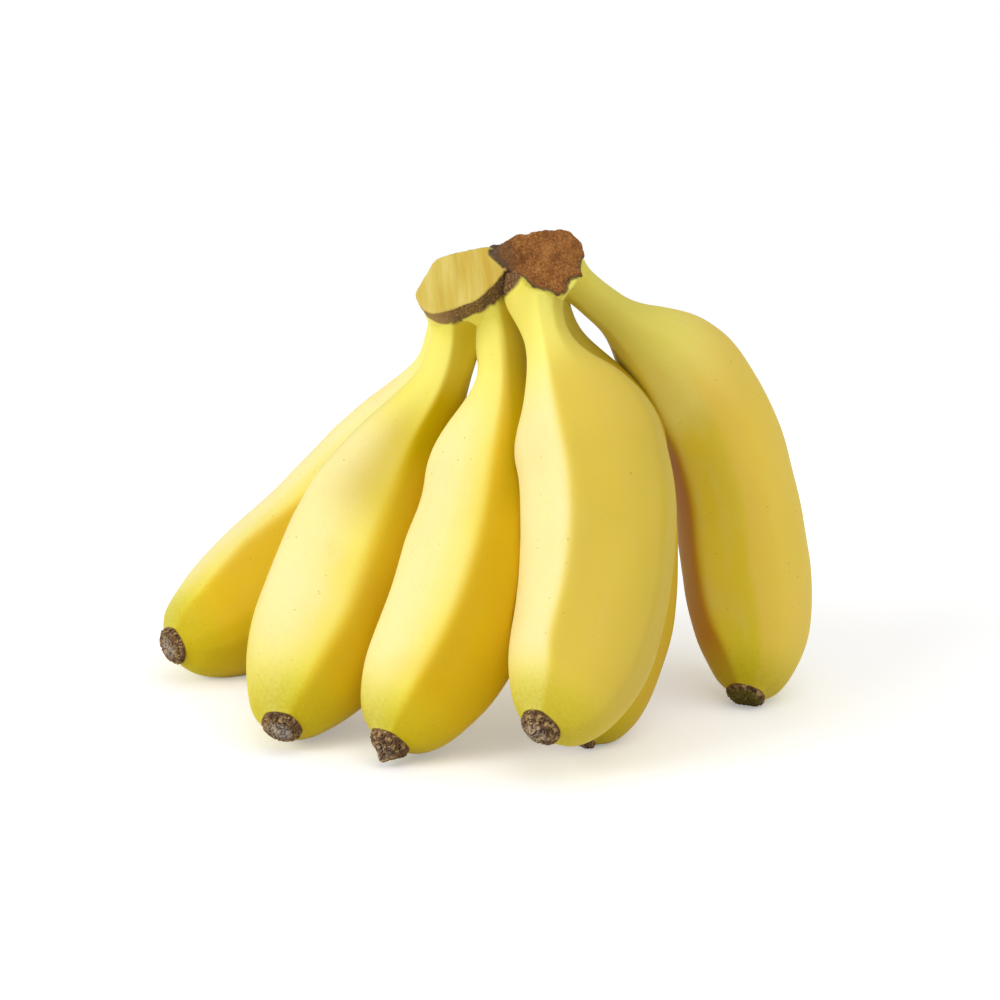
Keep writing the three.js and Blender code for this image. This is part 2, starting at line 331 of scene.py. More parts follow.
class Shader:
    """The node tree of a material or a world, built by one method for every kind of node."""

    def __init__(self, owner: Any, output: str = "ShaderNodeOutputMaterial") -> None:
        """Starts a tree with only its output node.

        Args:
            owner: The material or world.
            output: The type of its output node.
        """
        owner.use_nodes = True
        self.owner = owner
        self.nodes = owner.node_tree.nodes
        self.links = owner.node_tree.links
        self.nodes.clear()
        self.output = self.nodes.new(output)

    def node(self, kind: str, inputs: dict[Any, Any], result: Any = 0, **settings: Any) -> Value:
        """Adds a node, sets it up and gives one of its outputs.

        Args:
            kind: The node's type.
            inputs: A number, colour or Value for each input, by name or place.
            result: The output to give, by name or place.
            settings: The node's properties, set before its inputs.

        Returns:
            The wrapped output.
        """
        made = self.nodes.new(kind)
        for label, value in settings.items():
            setattr(made, label, value)
        for label, value in inputs.items():
            if isinstance(value, Value):
                self.links.new(value.socket, made.inputs[label])
            else:
                made.inputs[label].default_value = value
        return Value(self, made.outputs[result])

    def finished(self, shaded: Value) -> Any:
        """Ends the tree in a shader, and gives back the material or world."""
        self.links.new(shaded.socket, self.output.inputs["Surface"])
        return self.owner

    def attribute(self, name: str, vector: bool = False) -> Value:
        """A mesh attribute, as a number or as a vector."""
        return self.node("ShaderNodeAttribute", {}, "Vector" if vector else "Fac", attribute_name=name)

    def object_place(self) -> Value:
        """The place on the object, in metres."""
        return self.node("ShaderNodeTexCoord", {}, "Object")

    def stretched(self, vector: Value, scale: Triple) -> Value:
        """A vector with each of its parts multiplied."""
        return self.node("ShaderNodeVectorMath", {0: vector, 1: scale}, operation="MULTIPLY")

    def noise(self, place: Value, scale: float, detail: float = 3, roughness: float = 0.5) -> Value:
        """Noise from 0 to 1 with an average of 0.5."""
        inputs = {"Vector": place, "Scale": scale, "Detail": detail, "Roughness": roughness}
        return self.node("ShaderNodeTexNoise", inputs, "Fac")

    def specks(self, place: Value, scale: float, size: float, share: float) -> Value:
        """Small round spots: 1 inside a share of the cells' spots and 0 outside them.

        Args:
            place: Where to read them.
            scale: Cells per unit length.
            size: The radius of a spot, as a share of a cell.
            share: The share of the cells that hold a spot.

        Returns:
            The mask of the spots.
        """
        inputs = {"Vector": place, "Scale": scale, "Randomness": 1.0}
        distance = self.node("ShaderNodeTexVoronoi", inputs, "Distance")
        chance = self.node("ShaderNodeTexVoronoi", inputs, "Color")
        red = self.node("ShaderNodeSeparateColor", {"Color": chance}, "Red")
        return distance.step(size, size * 0.45) * red.step(1 - share, 1 - share + 0.02)

    def layered(self, base: Any, *layers: tuple[Any, Any]) -> Value:
        """A colour with others laid over it in turn.

        Args:
            base: The colour underneath.
            layers: A share from 0 to 1 and a colour for each layer, from the lowest up.

        Returns:
            The mixed colour.
        """
        for share, tone in layers:
            inputs = {0: share, 6: base, 7: tone}
            base = self.node("ShaderNodeMix", inputs, 2, data_type="RGBA", clamp_factor=True)
        return base

    def bump(self, height: Value, distance: float, strength: float) -> Value:
        """A normal bent by a height from 0 to 1 that stands for a distance in metres."""
        inputs = {"Height": height, "Distance": distance, "Strength": strength}
        return self.node("ShaderNodeBump", inputs, "Normal")

    def surface(self, inputs: dict[str, Any]) -> bpy.types.Material:
        """Ends the tree in a Principled shader with these inputs."""
        return self.finished(self.node("ShaderNodeBsdfPrincipled", inputs))


# ---- Finishes ----


class PaintedLight(Enum):
    """Painted light on a finger's peel, from the lowest layer up: pale is a painted highlight on the lit
    side; tan, sand, golden and bronze are painted shade on the shaded sides and under the crown; umber is a
    painted shadow where another finger blocks the light.
    """

    HIGHLIGHT = "pale"
    TAN = "tan"
    SAND_SHADE = "sand"
    GOLDEN_SHADE = "golden"
    UMBER_SHADOW = "umber"
    BRONZE_SHADE = "bronze"


@dataclass(frozen=True)
class PeelFinish:
    """Ripe banana peel: waxy yellow, greener at the neck and the tip, with faint specks, and with a painted
    highlight on each finger's lit side and painted shade and shadow on its shaded sides.
    """

    ripe: Colour = colour(238, 220, 66)
    # pale: the peel's paler random mottling and streaks, and the painted highlight on each finger's lit side
    pale: Colour = colour(250, 238, 184)
    # tan, sand, golden, umber and bronze: painted shade and painted shadow on the fingers' shaded sides,
    # under the crown and where a finger lies behind another; golden is also the peel's deeper random
    # mottling
    tan: Colour = colour(216, 185, 76)
    sand: Colour = colour(246, 210, 92)
    golden: Colour = colour(216, 172, 0)
    umber: Colour = colour(198, 122, 0)
    bronze: Colour = colour(192, 162, 0)
    neck: Colour = colour(250, 242, 130)
    greenish: Colour = colour(226, 214, 40)
    olive: Colour = colour(176, 160, 14)
    fleck: Colour = colour(150, 112, 34)
    bark: Colour = colour(96, 66, 40)
    bark_light: Colour = colour(152, 120, 80)
    subsurface: float = 0.12

    def material(self) -> bpy.types.Material:
        """Builds the peel's material.

        Returns:
            The material, which reads the attributes grain, from_tip, from_root and scorch
            and those of the painted highlight and shade.
        """
        shader = Shader(bpy.data.materials.new("peel"))
        grain = shader.attribute("grain", vector=True)
        from_tip = shader.attribute("from_tip")
        from_root = shader.attribute("from_root")
        broad = shader.noise(shader.stretched(grain, (1, 1, 0.55)), 0.055, 2)
        streaks = shader.noise(shader.stretched(grain, (1, 1, 0.12)), 0.42, 3)
        fine = shader.noise(shader.object_place(), 1100, 4, 0.6)
        marbled = 0.75 + broad * 0.35
        thinned = marbled * (0.75 + from_root.step(16, 36) * 0.25) * (0.7 + from_tip.step(4, 18) * 0.3)
        # Painted shade and painted shadow from each finger's bands, thinner near the neck and the tip.
        painted_light = [
            (shader.attribute(tint.value) * thinned, getattr(self, tint.value))
            for tint in PaintedLight
            if tint is not PaintedLight.HIGHLIGHT
        ]
        flecks = shader.specks(grain, 0.55, 0.16, 0.16) * 0.4 + shader.specks(grain, 1.5, 0.2, 0.06) * 0.35
        scorch = shader.attribute("scorch") * (0.86 + fine * 0.3)
        dust = shader.noise(shader.object_place(), 2100, 4, 0.65)
        tone = shader.layered(
            self.ripe,
            (broad.step(0.45, 0.75) * 0.2, self.pale),
            (broad.step(0.5, 0.25) * 0.35, self.golden),
            # Painted highlight on each finger's lit side.
            (shader.attribute(PaintedLight.HIGHLIGHT.value) * marbled, self.pale),
            (streaks.step(0.45, 0.75) * 0.12, self.pale),
            (fine.step(0.5, 0.8) * 0.12, self.golden),
            (from_root.step(40, 20) * 0.7, self.neck),
            (from_root.step(12, 5) * fine * 0.6, self.greenish),
            (from_tip.step(24, 5) * (0.5 + fine * 0.3), self.greenish),
            # Painted shade and painted shadow.
            *painted_light,
            (from_tip.step(15, 2) * (0.2 + fine * 0.55), self.olive),
            (from_tip.step(0.85, 0.45), self.bark),
            (flecks, self.fleck),
            (scorch.clamped(), shader.layered(self.bark, (dust.step(0.44, 0.66), self.bark_light))),
        )
        return shader.surface(
            {
                "Base Color": tone,
                "Roughness": 0.46 + broad * 0.1 + scorch * 0.3,
                "Normal": shader.bump(fine * 0.6 + streaks * 0.4, 0.00006, 0.6),
                "IOR": 1.5,
                "Specular IOR Level": 0.07,
                "Subsurface Weight": self.subsurface,
                "Subsurface Radius": (1.0, 0.45, 0.1),
                "Subsurface Scale": 0.0022,
            }
        )


@dataclass(frozen=True)
class CrownFinish:
    """The crown: a fresh pale cut, an old rust-brown cut, a dried rim, and peel below them."""

    flesh: Colour = colour(208, 182, 76)
    flesh_light: Colour = colour(222, 202, 110)
    flesh_deep: Colour = colour(194, 156, 44)
    rust: Colour = colour(143, 87, 31)
    rust_light: Colour = colour(192, 138, 74)
    rust_dark: Colour = colour(88, 48, 20)
    rim: Colour = colour(106, 76, 42)
    rim_light: Colour = colour(164, 132, 86)
    # dark brown along the seam between the lobes, on the knob, and at the brink, rear and left side of the
    # old cut
    dark_marks: Colour = colour(74, 60, 46)
    peel: Colour = colour(236, 224, 98)

    def material(self) -> bpy.types.Material:
        """Builds the crown's material.

        Returns:
            The material, which reads the attributes cut_grain, fresh, dried, rim and the dark marks.
        """
        shader = Shader(bpy.data.materials.new("crown"))
        grain = shader.attribute("cut_grain", vector=True)
        place = shader.object_place()
        across = shader.node("ShaderNodeSeparateXYZ", {0: grain}, "X")
        fibres = shader.noise(shader.stretched(grain, (1, 0.12, 0.1)), 0.34, 2)
        fine_fibres = shader.noise(shader.stretched(grain, (1, 0.06, 0.1)), 1.5, 3)
        fine = shader.noise(place, 2100, 4, 0.65)
        coarse = shader.noise(place, 260, 3)
        fresh, dried, on_rim, dark_marks = map(shader.attribute, ("fresh", "dried", "rim", "dark_marks"))
        flesh = shader.layered(
            self.flesh,
            (fibres.step(0.45, 0.68) * 0.68, self.flesh_light),
            (fibres.step(0.5, 0.32) * 0.6, self.flesh_deep),
            (fine_fibres.step(0.5, 0.72) * 0.25, self.flesh_light),
            (across.step(0, 8) * 0.5, self.flesh_deep),
        )
        rust = shader.layered(
            self.rust,
            (fine.step(0.5, 0.68) * 0.8, self.rust_light),
            (fine.step(0.47, 0.34) * 0.7, self.rust_dark),
            (coarse.step(0.52, 0.3) * 0.5, self.rust_dark),
            (coarse.step(0.5, 0.7) * 0.3, self.rust_light),
        )
        rim = shader.layered(
            self.rim,
            (fine.step(0.44, 0.66), self.rim_light),
            (coarse.step(0.5, 0.3) * 0.5, self.dark_marks),
            (across.step(-1, -7) * 0.75, self.rim_light),
        )
        tone = shader.layered(
            self.peel,
            (on_rim * (0.86 + fine * 0.3), rim),
            (fresh, flesh),
            (dried, rust),
            (dark_marks, self.dark_marks),
        )
        dryness = (dried + on_rim).clamped()
        return shader.surface(
            {
                "Base Color": tone,
                "Roughness": 0.5 + dryness * 0.38,
                "Normal": shader.bump(fine * dryness + fine_fibres * 0.4, 0.00022, 0.8),
                "IOR": 1.42,
                "Subsurface Weight": 0.08,
                "Subsurface Radius": (1.0, 0.5, 0.15),
                "Subsurface Scale": 0.0015,
            }
        )


@dataclass(frozen=True)
class BlossomFinish:
    """Dried flower: dark brown, with tan and grey fibres; its raised lumps are lighter brown and tan and its
    creases dark, partly the fibres' own colour and partly painted highlight and painted shade.
    """

    dark: Colour = colour(52, 38, 30)
    brown: Colour = colour(108, 80, 52)
    tan: Colour = colour(190, 156, 106)
    ash: Colour = colour(196, 190, 180)
    moss: Colour = colour(92, 86, 8)

    def material(self) -> bpy.types.Material:
        """Builds the dried flower's material.

        Returns:
            The material, which reads the attributes lift, ash and moss.
        """
        shader = Shader(bpy.data.materials.new("dried_flower"))
        place = shader.object_place()
        lift, ash, moss = map(shader.attribute, ("lift", "ash", "moss"))
        fine = shader.noise(place, 1900, 3, 0.6)
        coarse = shader.noise(place, 620, 2)
        tone = shader.layered(
            self.dark,
            # Lighter brown and tan on the raised lumps and dark in the creases: partly the fibres' own
            # colour, partly painted highlight and painted shade.
            (lift.step(0.1, 0.6), self.brown),
            (lift.step(0.4, 0.9) * coarse.step(0.42, 0.6) * 0.8, self.tan),
            (fine.step(0.5, 0.38) * 0.7, self.dark),
            (ash * (lift.step(0.15, 0.6) * 0.6 + fine.step(0.45, 0.6) * 0.4), self.ash),
            (moss * (0.6 + coarse * 0.5), self.moss),
        )
        normal = shader.bump(fine, 0.0002, 0.8)
        return shader.surface({"Base Color": tone, "Roughness": 0.88, "Normal": normal, "IOR": 1.35})


@dataclass(frozen=True)
class FloorFinish:
    """A white studio sweep that keeps the shadow near the hand and goes to plain white."""

    paint: Colour = colour(244, 244, 244)
    clear_radius: float = 0.16  # from the middle, where the shadow starts to go
    white_radius: float = 0.5  # from the middle, where it is gone
    lift: float = 0.3  # the light that the floor gives of its own near the hand

    def material(self) -> bpy.types.Material:
        """Builds the floor's material.

        Returns:
            The material. For camera and glossy rays it is lifted a little, and it fades to
            plain white by the distance from the middle of the floor.
        """
        shader = Shader(bpy.data.materials.new("floor"))
        place = shader.object_place()
        distance = shader.node("ShaderNodeVectorMath", {0: place}, "Value", operation="LENGTH")
        rays = [shader.node("ShaderNodeLightPath", {}, f"Is {kind} Ray") for kind in ("Camera", "Glossy")]
        seen = (rays[0] + rays[1]).clamped()
        paint = shader.node("ShaderNodeBsdfDiffuse", {"Color": self.paint})
        glow = shader.node("ShaderNodeEmission", {"Color": WHITE, "Strength": self.lift})
        lifted = shader.node("ShaderNodeAddShader", {0: paint, 1: glow})
        near = shader.node("ShaderNodeMixShader", {0: seen, 1: paint, 2: lifted})
        white = shader.node("ShaderNodeEmission", {"Color": WHITE, "Strength": 1.0})
        away = distance.step(self.clear_radius, self.white_radius) * seen
        return shader.finished(shader.node("ShaderNodeMixShader", {0: away, 1: near, 2: white}))


# ---- Fingers ----


@dataclass(frozen=True)
class PaintedLightBand:
    """A band that runs along a finger, of one painted highlight, painted shade or painted shadow."""

    tint: PaintedLight
    first: float  # degrees from the front ridge to the right
    last: float
    begin: float = 12.0  # from the root
    end: float = 400.0
    strength: float = 0.85
    fade: float = 20.0  # the length over which it fades at both ends
    crisp: bool = True  # whether its edges near the front ridge are as narrow as the ridge

    CRISP_WITHIN = 60.0  # degrees from the front ridge
    CRISP = 1.2  # width of such an edge
    SOFT = 7.0  # width of the other edges

    def amount(self, turned: Array, distance: Array, radius: float) -> Array:
        """How strong the tint is at each place.

        Each edge is a hyperbolic tangent across the finger, narrow near the front ridge and
        wide towards the back.

        Args:
            turned: Angles from the front ridge, to the right.
            distance: Distances from the root.
            radius: The finger's radius.

        Returns:
            Shares from 0 to the strength.
        """
        amount = self.strength * smoothstep(distance, self.begin, self.begin + self.fade)
        amount = amount * smoothstep(distance, self.end, self.end - self.fade)
        for edge, side in ((self.first, 1), (self.last, -1)):
            near = self.crisp and abs(edge) < self.CRISP_WITHIN
            offset = (turned - math.radians(edge)) * radius / (self.CRISP if near else self.SOFT)
            amount = amount * (0.5 + 0.5 * side * np.tanh(offset))
        return amount


# The usual painted light: a painted highlight on the lit left face and painted shade on the shaded right
# faces.
PAINTED_HIGHLIGHT_AND_SHADE = (
    PaintedLightBand(PaintedLight.HIGHLIGHT, -85, -20, strength=0.9, crisp=False),
    PaintedLightBand(PaintedLight.GOLDEN_SHADE, 0, 140),
)


@dataclass
class Finger:
    """One banana: a five-sided rounded body carried along a centre line from neck to tip."""

    name: str
    route: Sequence[Sequence[float]]  # control points of its centre line, from the crown on
    belly: float  # radius
    neck: float  # radius
    neck_length: float  # before the shoulder starts
    shoulder_length: float  # over which the neck swells to the belly
    tail_length: float  # of the rounded end
    ridge_turn: float  # degrees that the front ridge is turned from the front to the right
    ridge_twist: float  # degrees that the ridges turn along the finger
    ridge_sharpness: float  # exponent of the section: 8 is soft and 20 is crisp
    fullness: Sequence[float]  # factors on the radius at even stations from root to tip
    seed: int  # which pattern its unevenness follows
    heel: tuple[float, float] = (0.0, 0.0)  # bulge of the root, and its degrees to the right
    # the bands of painted highlight, shade and shadow on its peel
    painted_light: tuple[PaintedLightBand, ...] = PAINTED_HIGHLIGHT_AND_SHADE
    rings: int = 230
    sides: int = 170
    line: CentreLine = field(init=False)

    RIDGES = 5
    RIDGE_SHARE = 0.72  # how much of the pentagon shows at the front ridge
    NECK_RIDGE_SHARE = 0.4  # the same on the neck
    SIDE_RIDGE_SHARE = 0.45  # how much of that is left away from the front ridge
    FRONT_WIDTH = 50.0  # degrees
    RIDGE_CROWDING = 0.6
    ROOT_FLARE = 1.2
    ROOT_FLARE_LENGTH = 4.0
    ROOT_ROUNDING = 5.0
    ROOT_SHARE = 0.06  # of the root's dome that is cut off
    HEEL_PLACE = 9.0  # from the root
    HEEL_SPREAD = 5.5
    TIP_BLUNTNESS = 2.2
    NIB = 1.2
    SOFTENING = 0.9
    FULLNESS_BLEND = 0.6  # of the distance between two stations
    UNEVENNESS = 0.28
    UNEVEN_LENGTH = 16.0
    EVEN_ROOT = 12.0
    EVEN_TIP = 10.0
    GRAIN_RADIUS = 14.0
    GRAIN_SPACING = 60.0  # between the patterns of two fingers
    PROFILE_SAMPLES = 1600
    SECTION_SAMPLES = 60
    LINE_SAMPLES = 160

    def __post_init__(self) -> None:
        """Works out the centre line, the profile and the section's mean reach."""
        self.line = CentreLine(self.route)
        self._distances = np.linspace(0, self.line.length, self.PROFILE_SAMPLES)
        self._radii = self._profile(self._distances)
        rise = np.hypot(np.diff(self._distances), np.diff(self._radii))
        self._travelled = np.concatenate([[0.0], np.cumsum(rise)])
        across = np.linspace(0, math.pi / self.RIDGES, self.SECTION_SAMPLES)
        pair = np.cos(across) ** self.ridge_sharpness
        pair = pair + np.cos(FULL_TURN / self.RIDGES - across) ** self.ridge_sharpness
        self._mean_reach = float(np.mean(pair ** (-1 / self.ridge_sharpness)))

    def _swell(self, distance: Array) -> Array:
        """How far the neck has swollen to the belly, from 0 to 1."""
        return smoothstep(distance, self.neck_length, self.neck_length + self.shoulder_length)

    def _profile(self, distance: Array) -> Array:
        """The mean radius along the finger, softened over a millimetre or so.

        The neck swells to the belly by a smooth step. Over the tail the radius falls to the
        tip's as (1 - q^n)^(1/n) does, where q goes from 0 to 1, and the last stretch is a nib
        of the tip's own radius. The root flares as a bell curve and starts as a round dome,
        sqrt(1 - (1 - q)^2). The fullness at a place is the average of its stations, weighted
        by a bell curve about each.

        Args:
            distance: Evenly spaced distances from the root.

        Returns:
            The radii.
        """
        body = self.neck + (self.belly - self.neck) * self._swell(distance)
        start = self.line.length - self.tail_length
        tail = np.clip((distance - start) / (self.tail_length - self.NIB), 0, 1)
        blunt = (1 - tail**self.TIP_BLUNTNESS) ** (1 / self.TIP_BLUNTNESS)
        flare = self.ROOT_FLARE * bell(distance / self.ROOT_FLARE_LENGTH)
        stations = np.linspace(0, self.line.length, len(self.fullness))
        bells = np.exp(-0.5 * ((distance[:, None] - stations) / (self.FULLNESS_BLEND * stations[1])) ** 2)
        fullness = bells @ np.array(self.fullness) / bells.sum(axis=1)
        radius = TIP_RADIUS + (body * fullness - TIP_RADIUS) * blunt + flare
        rooted = np.clip(self.ROOT_SHARE + distance / self.ROOT_ROUNDING, 0, 1)
        radius = radius * np.sqrt(1 - (1 - rooted) ** 2)
        step = distance[1] - distance[0]
        reach = int(3 * self.SOFTENING / step)
        weights = np.exp(-0.5 * (np.arange(-reach, reach + 1) * step / self.SOFTENING) ** 2)
        return np.convolve(np.pad(radius, reach, mode="edge"), weights / weights.sum(), mode="valid")

    def _corner(self, distance: Array) -> Array:
        """The angle of the front ridge at distances along the finger."""
        return np.radians(self.ridge_turn + self.ridge_twist * (distance / self.line.length - 0.5))

    def _section(self, angle: Array, distance: Array) -> Array:
        """How far the section reaches at an angle, about 1 on average.

        A pentagon with softened corners, (sum over the faces of max(0, cos(angle from the
        face))^n)^(-1/n), is mixed with a circle, more so on the neck and away from the front
        ridge, by a bell curve of the sine of half the angle from it.

        Args:
            angle: Angles round the finger.
            distance: Distances from the root.

        Returns:
            The factors on the mean radius.
        """
        corner = self._corner(distance)
        total = np.zeros(np.broadcast(angle, distance).shape)
        for face in range(self.RIDGES):
            middle = corner + (face + 0.5) * FULL_TURN / self.RIDGES
            total += np.maximum(0.0, np.cos(angle - middle)) ** self.ridge_sharpness
        pentagon = total ** (-1 / self.ridge_sharpness)
        ending = smoothstep(self.line.length - distance, 0.0, self.tail_length * 0.5)
        kept = (self.RIDGE_SHARE - self.NECK_RIDGE_SHARE) * self._swell(distance) * ending
        front = bell(np.sin((angle - corner) / 2) / math.sin(math.radians(self.FRONT_WIDTH) / 2))
        kept = (self.NECK_RIDGE_SHARE + kept) * (self.SIDE_RIDGE_SHARE + (1 - self.SIDE_RIDGE_SHARE) * front)
        return 1 + (pentagon / self._mean_reach - 1) * kept

    def radius(self, angle: Array, distance: Array) -> Array:
        """The distance from the centre line to the peel, before any unevenness.

        The heel adds a bell curve along the finger times the square of a cosine round it.

        Args:
            angle: Angles round the finger.
            distance: Distances from the root.

        Returns:
            The distances to the peel.
        """
        mean = np.interp(distance, self._distances, self._radii)
        bulge, turn = self.heel
        heel = bulge * np.maximum(0, np.cos(angle - math.radians(turn))) ** 2
        heel = heel * bell((distance - self.HEEL_PLACE) / self.HEEL_SPREAD)
        return mean * self._section(angle, distance) + heel

    def angles(self, distance: Array) -> Array:
        """Angles round each ring, from the front ridge on and crowded at the ridges.

        With t from 0 to 1 on each face the angle is t - c sin(2 pi t) / (2 pi), times the
        angle of a face.

        Args:
            distance: Distances of the rings, as a column.

        Returns:
            A row of angles for each ring.
        """
        share = np.linspace(0, self.RIDGES, self.sides, endpoint=False)
        crowded = share - self.RIDGE_CROWDING * np.sin(FULL_TURN * share) / FULL_TURN
        return self._corner(distance) + (crowded * FULL_TURN / self.RIDGES)[None, :]

    def clearance(self, points: Array) -> Array:
        """How far points lie outside this finger's peel, negative inside it.

        Each point is compared with the nearest of some samples of the centre line, moved along
        the line's tangent to stand abreast of the point.

        Args:
            points: Positions, one row each.

        Returns:
            The distances.
        """
        samples = np.linspace(0, self.line.length, self.LINE_SAMPLES)
        centres, tangents = self.line.at(samples)
        ahead, aside = facing(tangents)
        squares = (points**2).sum(1)[:, None] + (centres**2).sum(1) - 2 * points @ centres.T
        nearest = squares.argmin(axis=1)
        offset = points - centres[nearest]
        along = np.sum(offset * tangents[nearest], axis=1)
        across = offset - along[:, None] * tangents[nearest]
        right = np.sum(across * aside[nearest], axis=1)
        forward = np.sum(across * ahead[nearest], axis=1)
        inside = np.clip(samples[nearest] + along, 0, self.line.length)
        beyond = samples[nearest] + along - inside
        gap = np.hypot(right, forward) - self.radius(np.arctan2(right, forward), inside)
        return np.where(beyond == 0, gap, np.hypot(np.maximum(gap, 0), beyond))

    def _painted_light(self, angle: Array, distance: Array) -> dict[str, Array]:
        """How strong each painted highlight, shade and shadow of the peel is at each place.

        Args:
            angle: Angles round the finger.
            distance: Distances from the root.

        Returns:
            The sum of its bands for each tint's name.
        """
        turned = np.mod(angle - self._corner(distance) + math.pi, FULL_TURN) - math.pi
        amounts = {tint.value: np.zeros(turned.shape) for tint in PaintedLight}
        for band in self.painted_light:
            amounts[band.tint.value] += band.amount(turned, distance, self.belly)
        return amounts

    def build(self, hand: "Hand") -> bpy.types.Object:
        """Makes the finger's mesh, from rings evenly spaced along the curve of the profile.

        A point lies at centre + radius (ahead cos a + aside sin a). It is then moved along its
        normal: out where the neck nears the crown or another neck, so that they flow together,
        and in where the body presses on another finger. What would be below the surface that
        the hand stands on is pressed flat.

        Args:
            hand: The whole hand, which knows the neighbours.

        Returns:
            The finger's object.
        """
        travelled = np.linspace(0, self._travelled[-1], self.rings)
        distance = np.interp(travelled, self._travelled, self._distances)[:, None]
        angle = self.angles(distance)
        centres, tangents = self.line.at(distance[:, 0])
        ahead, aside = facing(tangents)
        cosine, sine = np.cos(angle), np.sin(angle)
        direction = ahead[:, None] * cosine[..., None] + aside[:, None] * sine[..., None]
        points = centres[:, None] + direction * self.radius(angle, distance)[..., None]
        fade = smoothstep(distance, 0, self.EVEN_ROOT)
        fade = fade * smoothstep(self.line.length - distance, 0, self.EVEN_TIP)
        bumps = self.UNEVENNESS * fade * layered_noise(points / self.UNEVEN_LENGTH, self.seed, 2)
        points += direction * bumps[..., None]
        flat, normals = points.reshape(-1, 3), turned_grid_normals(points).reshape(-1, 3)
        along = np.broadcast_to(distance, angle.shape).reshape(-1)
        flat = flat + normals * hand.push(self, flat, along)[:, None]
        flat = hand.crown.tucked(flat, along)
        flat[:, 2] = np.maximum(flat[:, 2], HAND_CENTRE[2])
        right = self.GRAIN_RADIUS * cosine + self.GRAIN_SPACING * self.seed
        attributes = {
            "grain": joined(right, self.GRAIN_RADIUS * sine, distance),
            "from_tip": (self._travelled[-1] - travelled)[:, None],
            "from_root": distance,
            "scorch": hand.crown.scorch(flat).reshape(angle.shape),
        }
        # The painted highlight, shade and shadow, one attribute each.
        attributes |= self._painted_light(angle, distance)
        ends = centres[[0, -1]]
        return closed_mesh(f"peel_{self.name}", flat.reshape(points.shape), ends, attributes)


# ---- Crown ----


def rounded_outline(corners: Sequence[tuple[float, float]], steps: int = 6) -> Array:
    """A closed cubic B-spline through the middles of the corners of an outline.

    A point is a mixture of four corners in a row, weighted (1-t)^3, 3t^3-6t^2+4,
    -3t^3+3t^2+3t+1 and t^3, all over 6.

    Args:
        corners: The outline's corners in order.
        steps: Points for each corner.

    Returns:
        The points of the rounded outline.
    """
    control = np.array(corners, float)
    t = (np.arange(steps) / steps)[:, None, None]
    weights = [(1 - t) ** 3, 3 * t**3 - 6 * t**2 + 4, -3 * t**3 + 3 * t**2 + 3 * t + 1, t**3]
    mixed = sum(weight * np.roll(control, 1 - k, axis=0) for k, weight in enumerate(weights)) / 6
    return mixed.transpose(1, 0, 2).reshape(-1, 2)


def outline_distance(points: Array, corners: Array) -> Array:
    """Distance from points in a plane to a closed outline, negative inside it.

    It is the distance to the nearest point of any side. A point is inside if a line from it
    to the right crosses an odd number of sides.

    Args:
        points: Positions, with two coordinates along the last axis.
        corners: The corners of the outline in order.

    Returns:
        The distances.
    """
    nearest = np.full(points.shape[:-1], np.inf)
    inside = np.zeros(points.shape[:-1], bool)
    for start, end in zip(corners, np.roll(corners, -1, axis=0)):
        side, offset = end - start, points - start
        right, rise = offset[..., 0], offset[..., 1]
        share = np.clip((right * side[0] + rise * side[1]) / (side @ side), 0, 1)
        nearest = np.minimum(nearest, np.hypot(right - share * side[0], rise - share * side[1]))
        if side[1]:
            straddles = (start[1] > points[..., 1]) != (end[1] > points[..., 1])
            inside ^= straddles & (right < rise * side[0] / side[1])
    return np.where(inside, -nearest, nearest)


@dataclass(frozen=True)
class Lobe:
    """One lobe of the crown: the outline of its cut, carried back and closed round."""

    cut_point: Triple  # the middle of the cut
    cut_normal: Triple
    axis: Triple  # the direction from the back of the lobe to its cut
    outline: tuple[tuple[float, float], ...]  # corners, to the right and up from the middle
    depth: float  # behind the cut, where the lobe closes
    growth: float  # how much wider it gets for each millimetre behind the cut
    growth_depth: float = 4.0  # behind the cut, where it stops getting wider

    CLOSING = 9.0

    def cut_distance(self, points: Array) -> Array:
        """How far points lie beyond the plane of the cut."""
        return (points - np.array(self.cut_point)) @ unit(np.array(self.cut_normal))

    def on_cut(self, points: Array) -> Array:
        """Points carried along the axis into the plane of the cut.

        Args:
            points: Positions.

        Returns:
            The lengths to the right and up the cut, and the distance behind it.
        """
        out, axis = unit(np.array(self.cut_normal)), unit(np.array(self.axis))
        behind = -self.cut_distance(points)
        carried = points - np.array(self.cut_point) + (behind / (axis @ out))[..., None] * axis
        up = unit(UP - out[2] * out)
        return joined(carried @ np.cross(up, out), carried @ up, behind)

    def skin_distance(self, points: Array) -> Array:
        """About how far points lie outside the lobe's sides and back.

        It is the distance to the outline on the plane of the cut, less the growth behind the
        cut, plus the closing's width times (distance behind the cut / depth)^4.

        Args:
            points: Positions.

        Returns:
            The distances, negative inside.
        """
        place = self.on_cut(points)
        behind = np.maximum(place[..., 2], 0)
        grown = self.growth * self.growth_depth * np.tanh(behind / self.growth_depth)
        edge = outline_distance(place[..., :2], rounded_outline(self.outline))
        return edge - grown + self.CLOSING * (behind / self.depth) ** 4


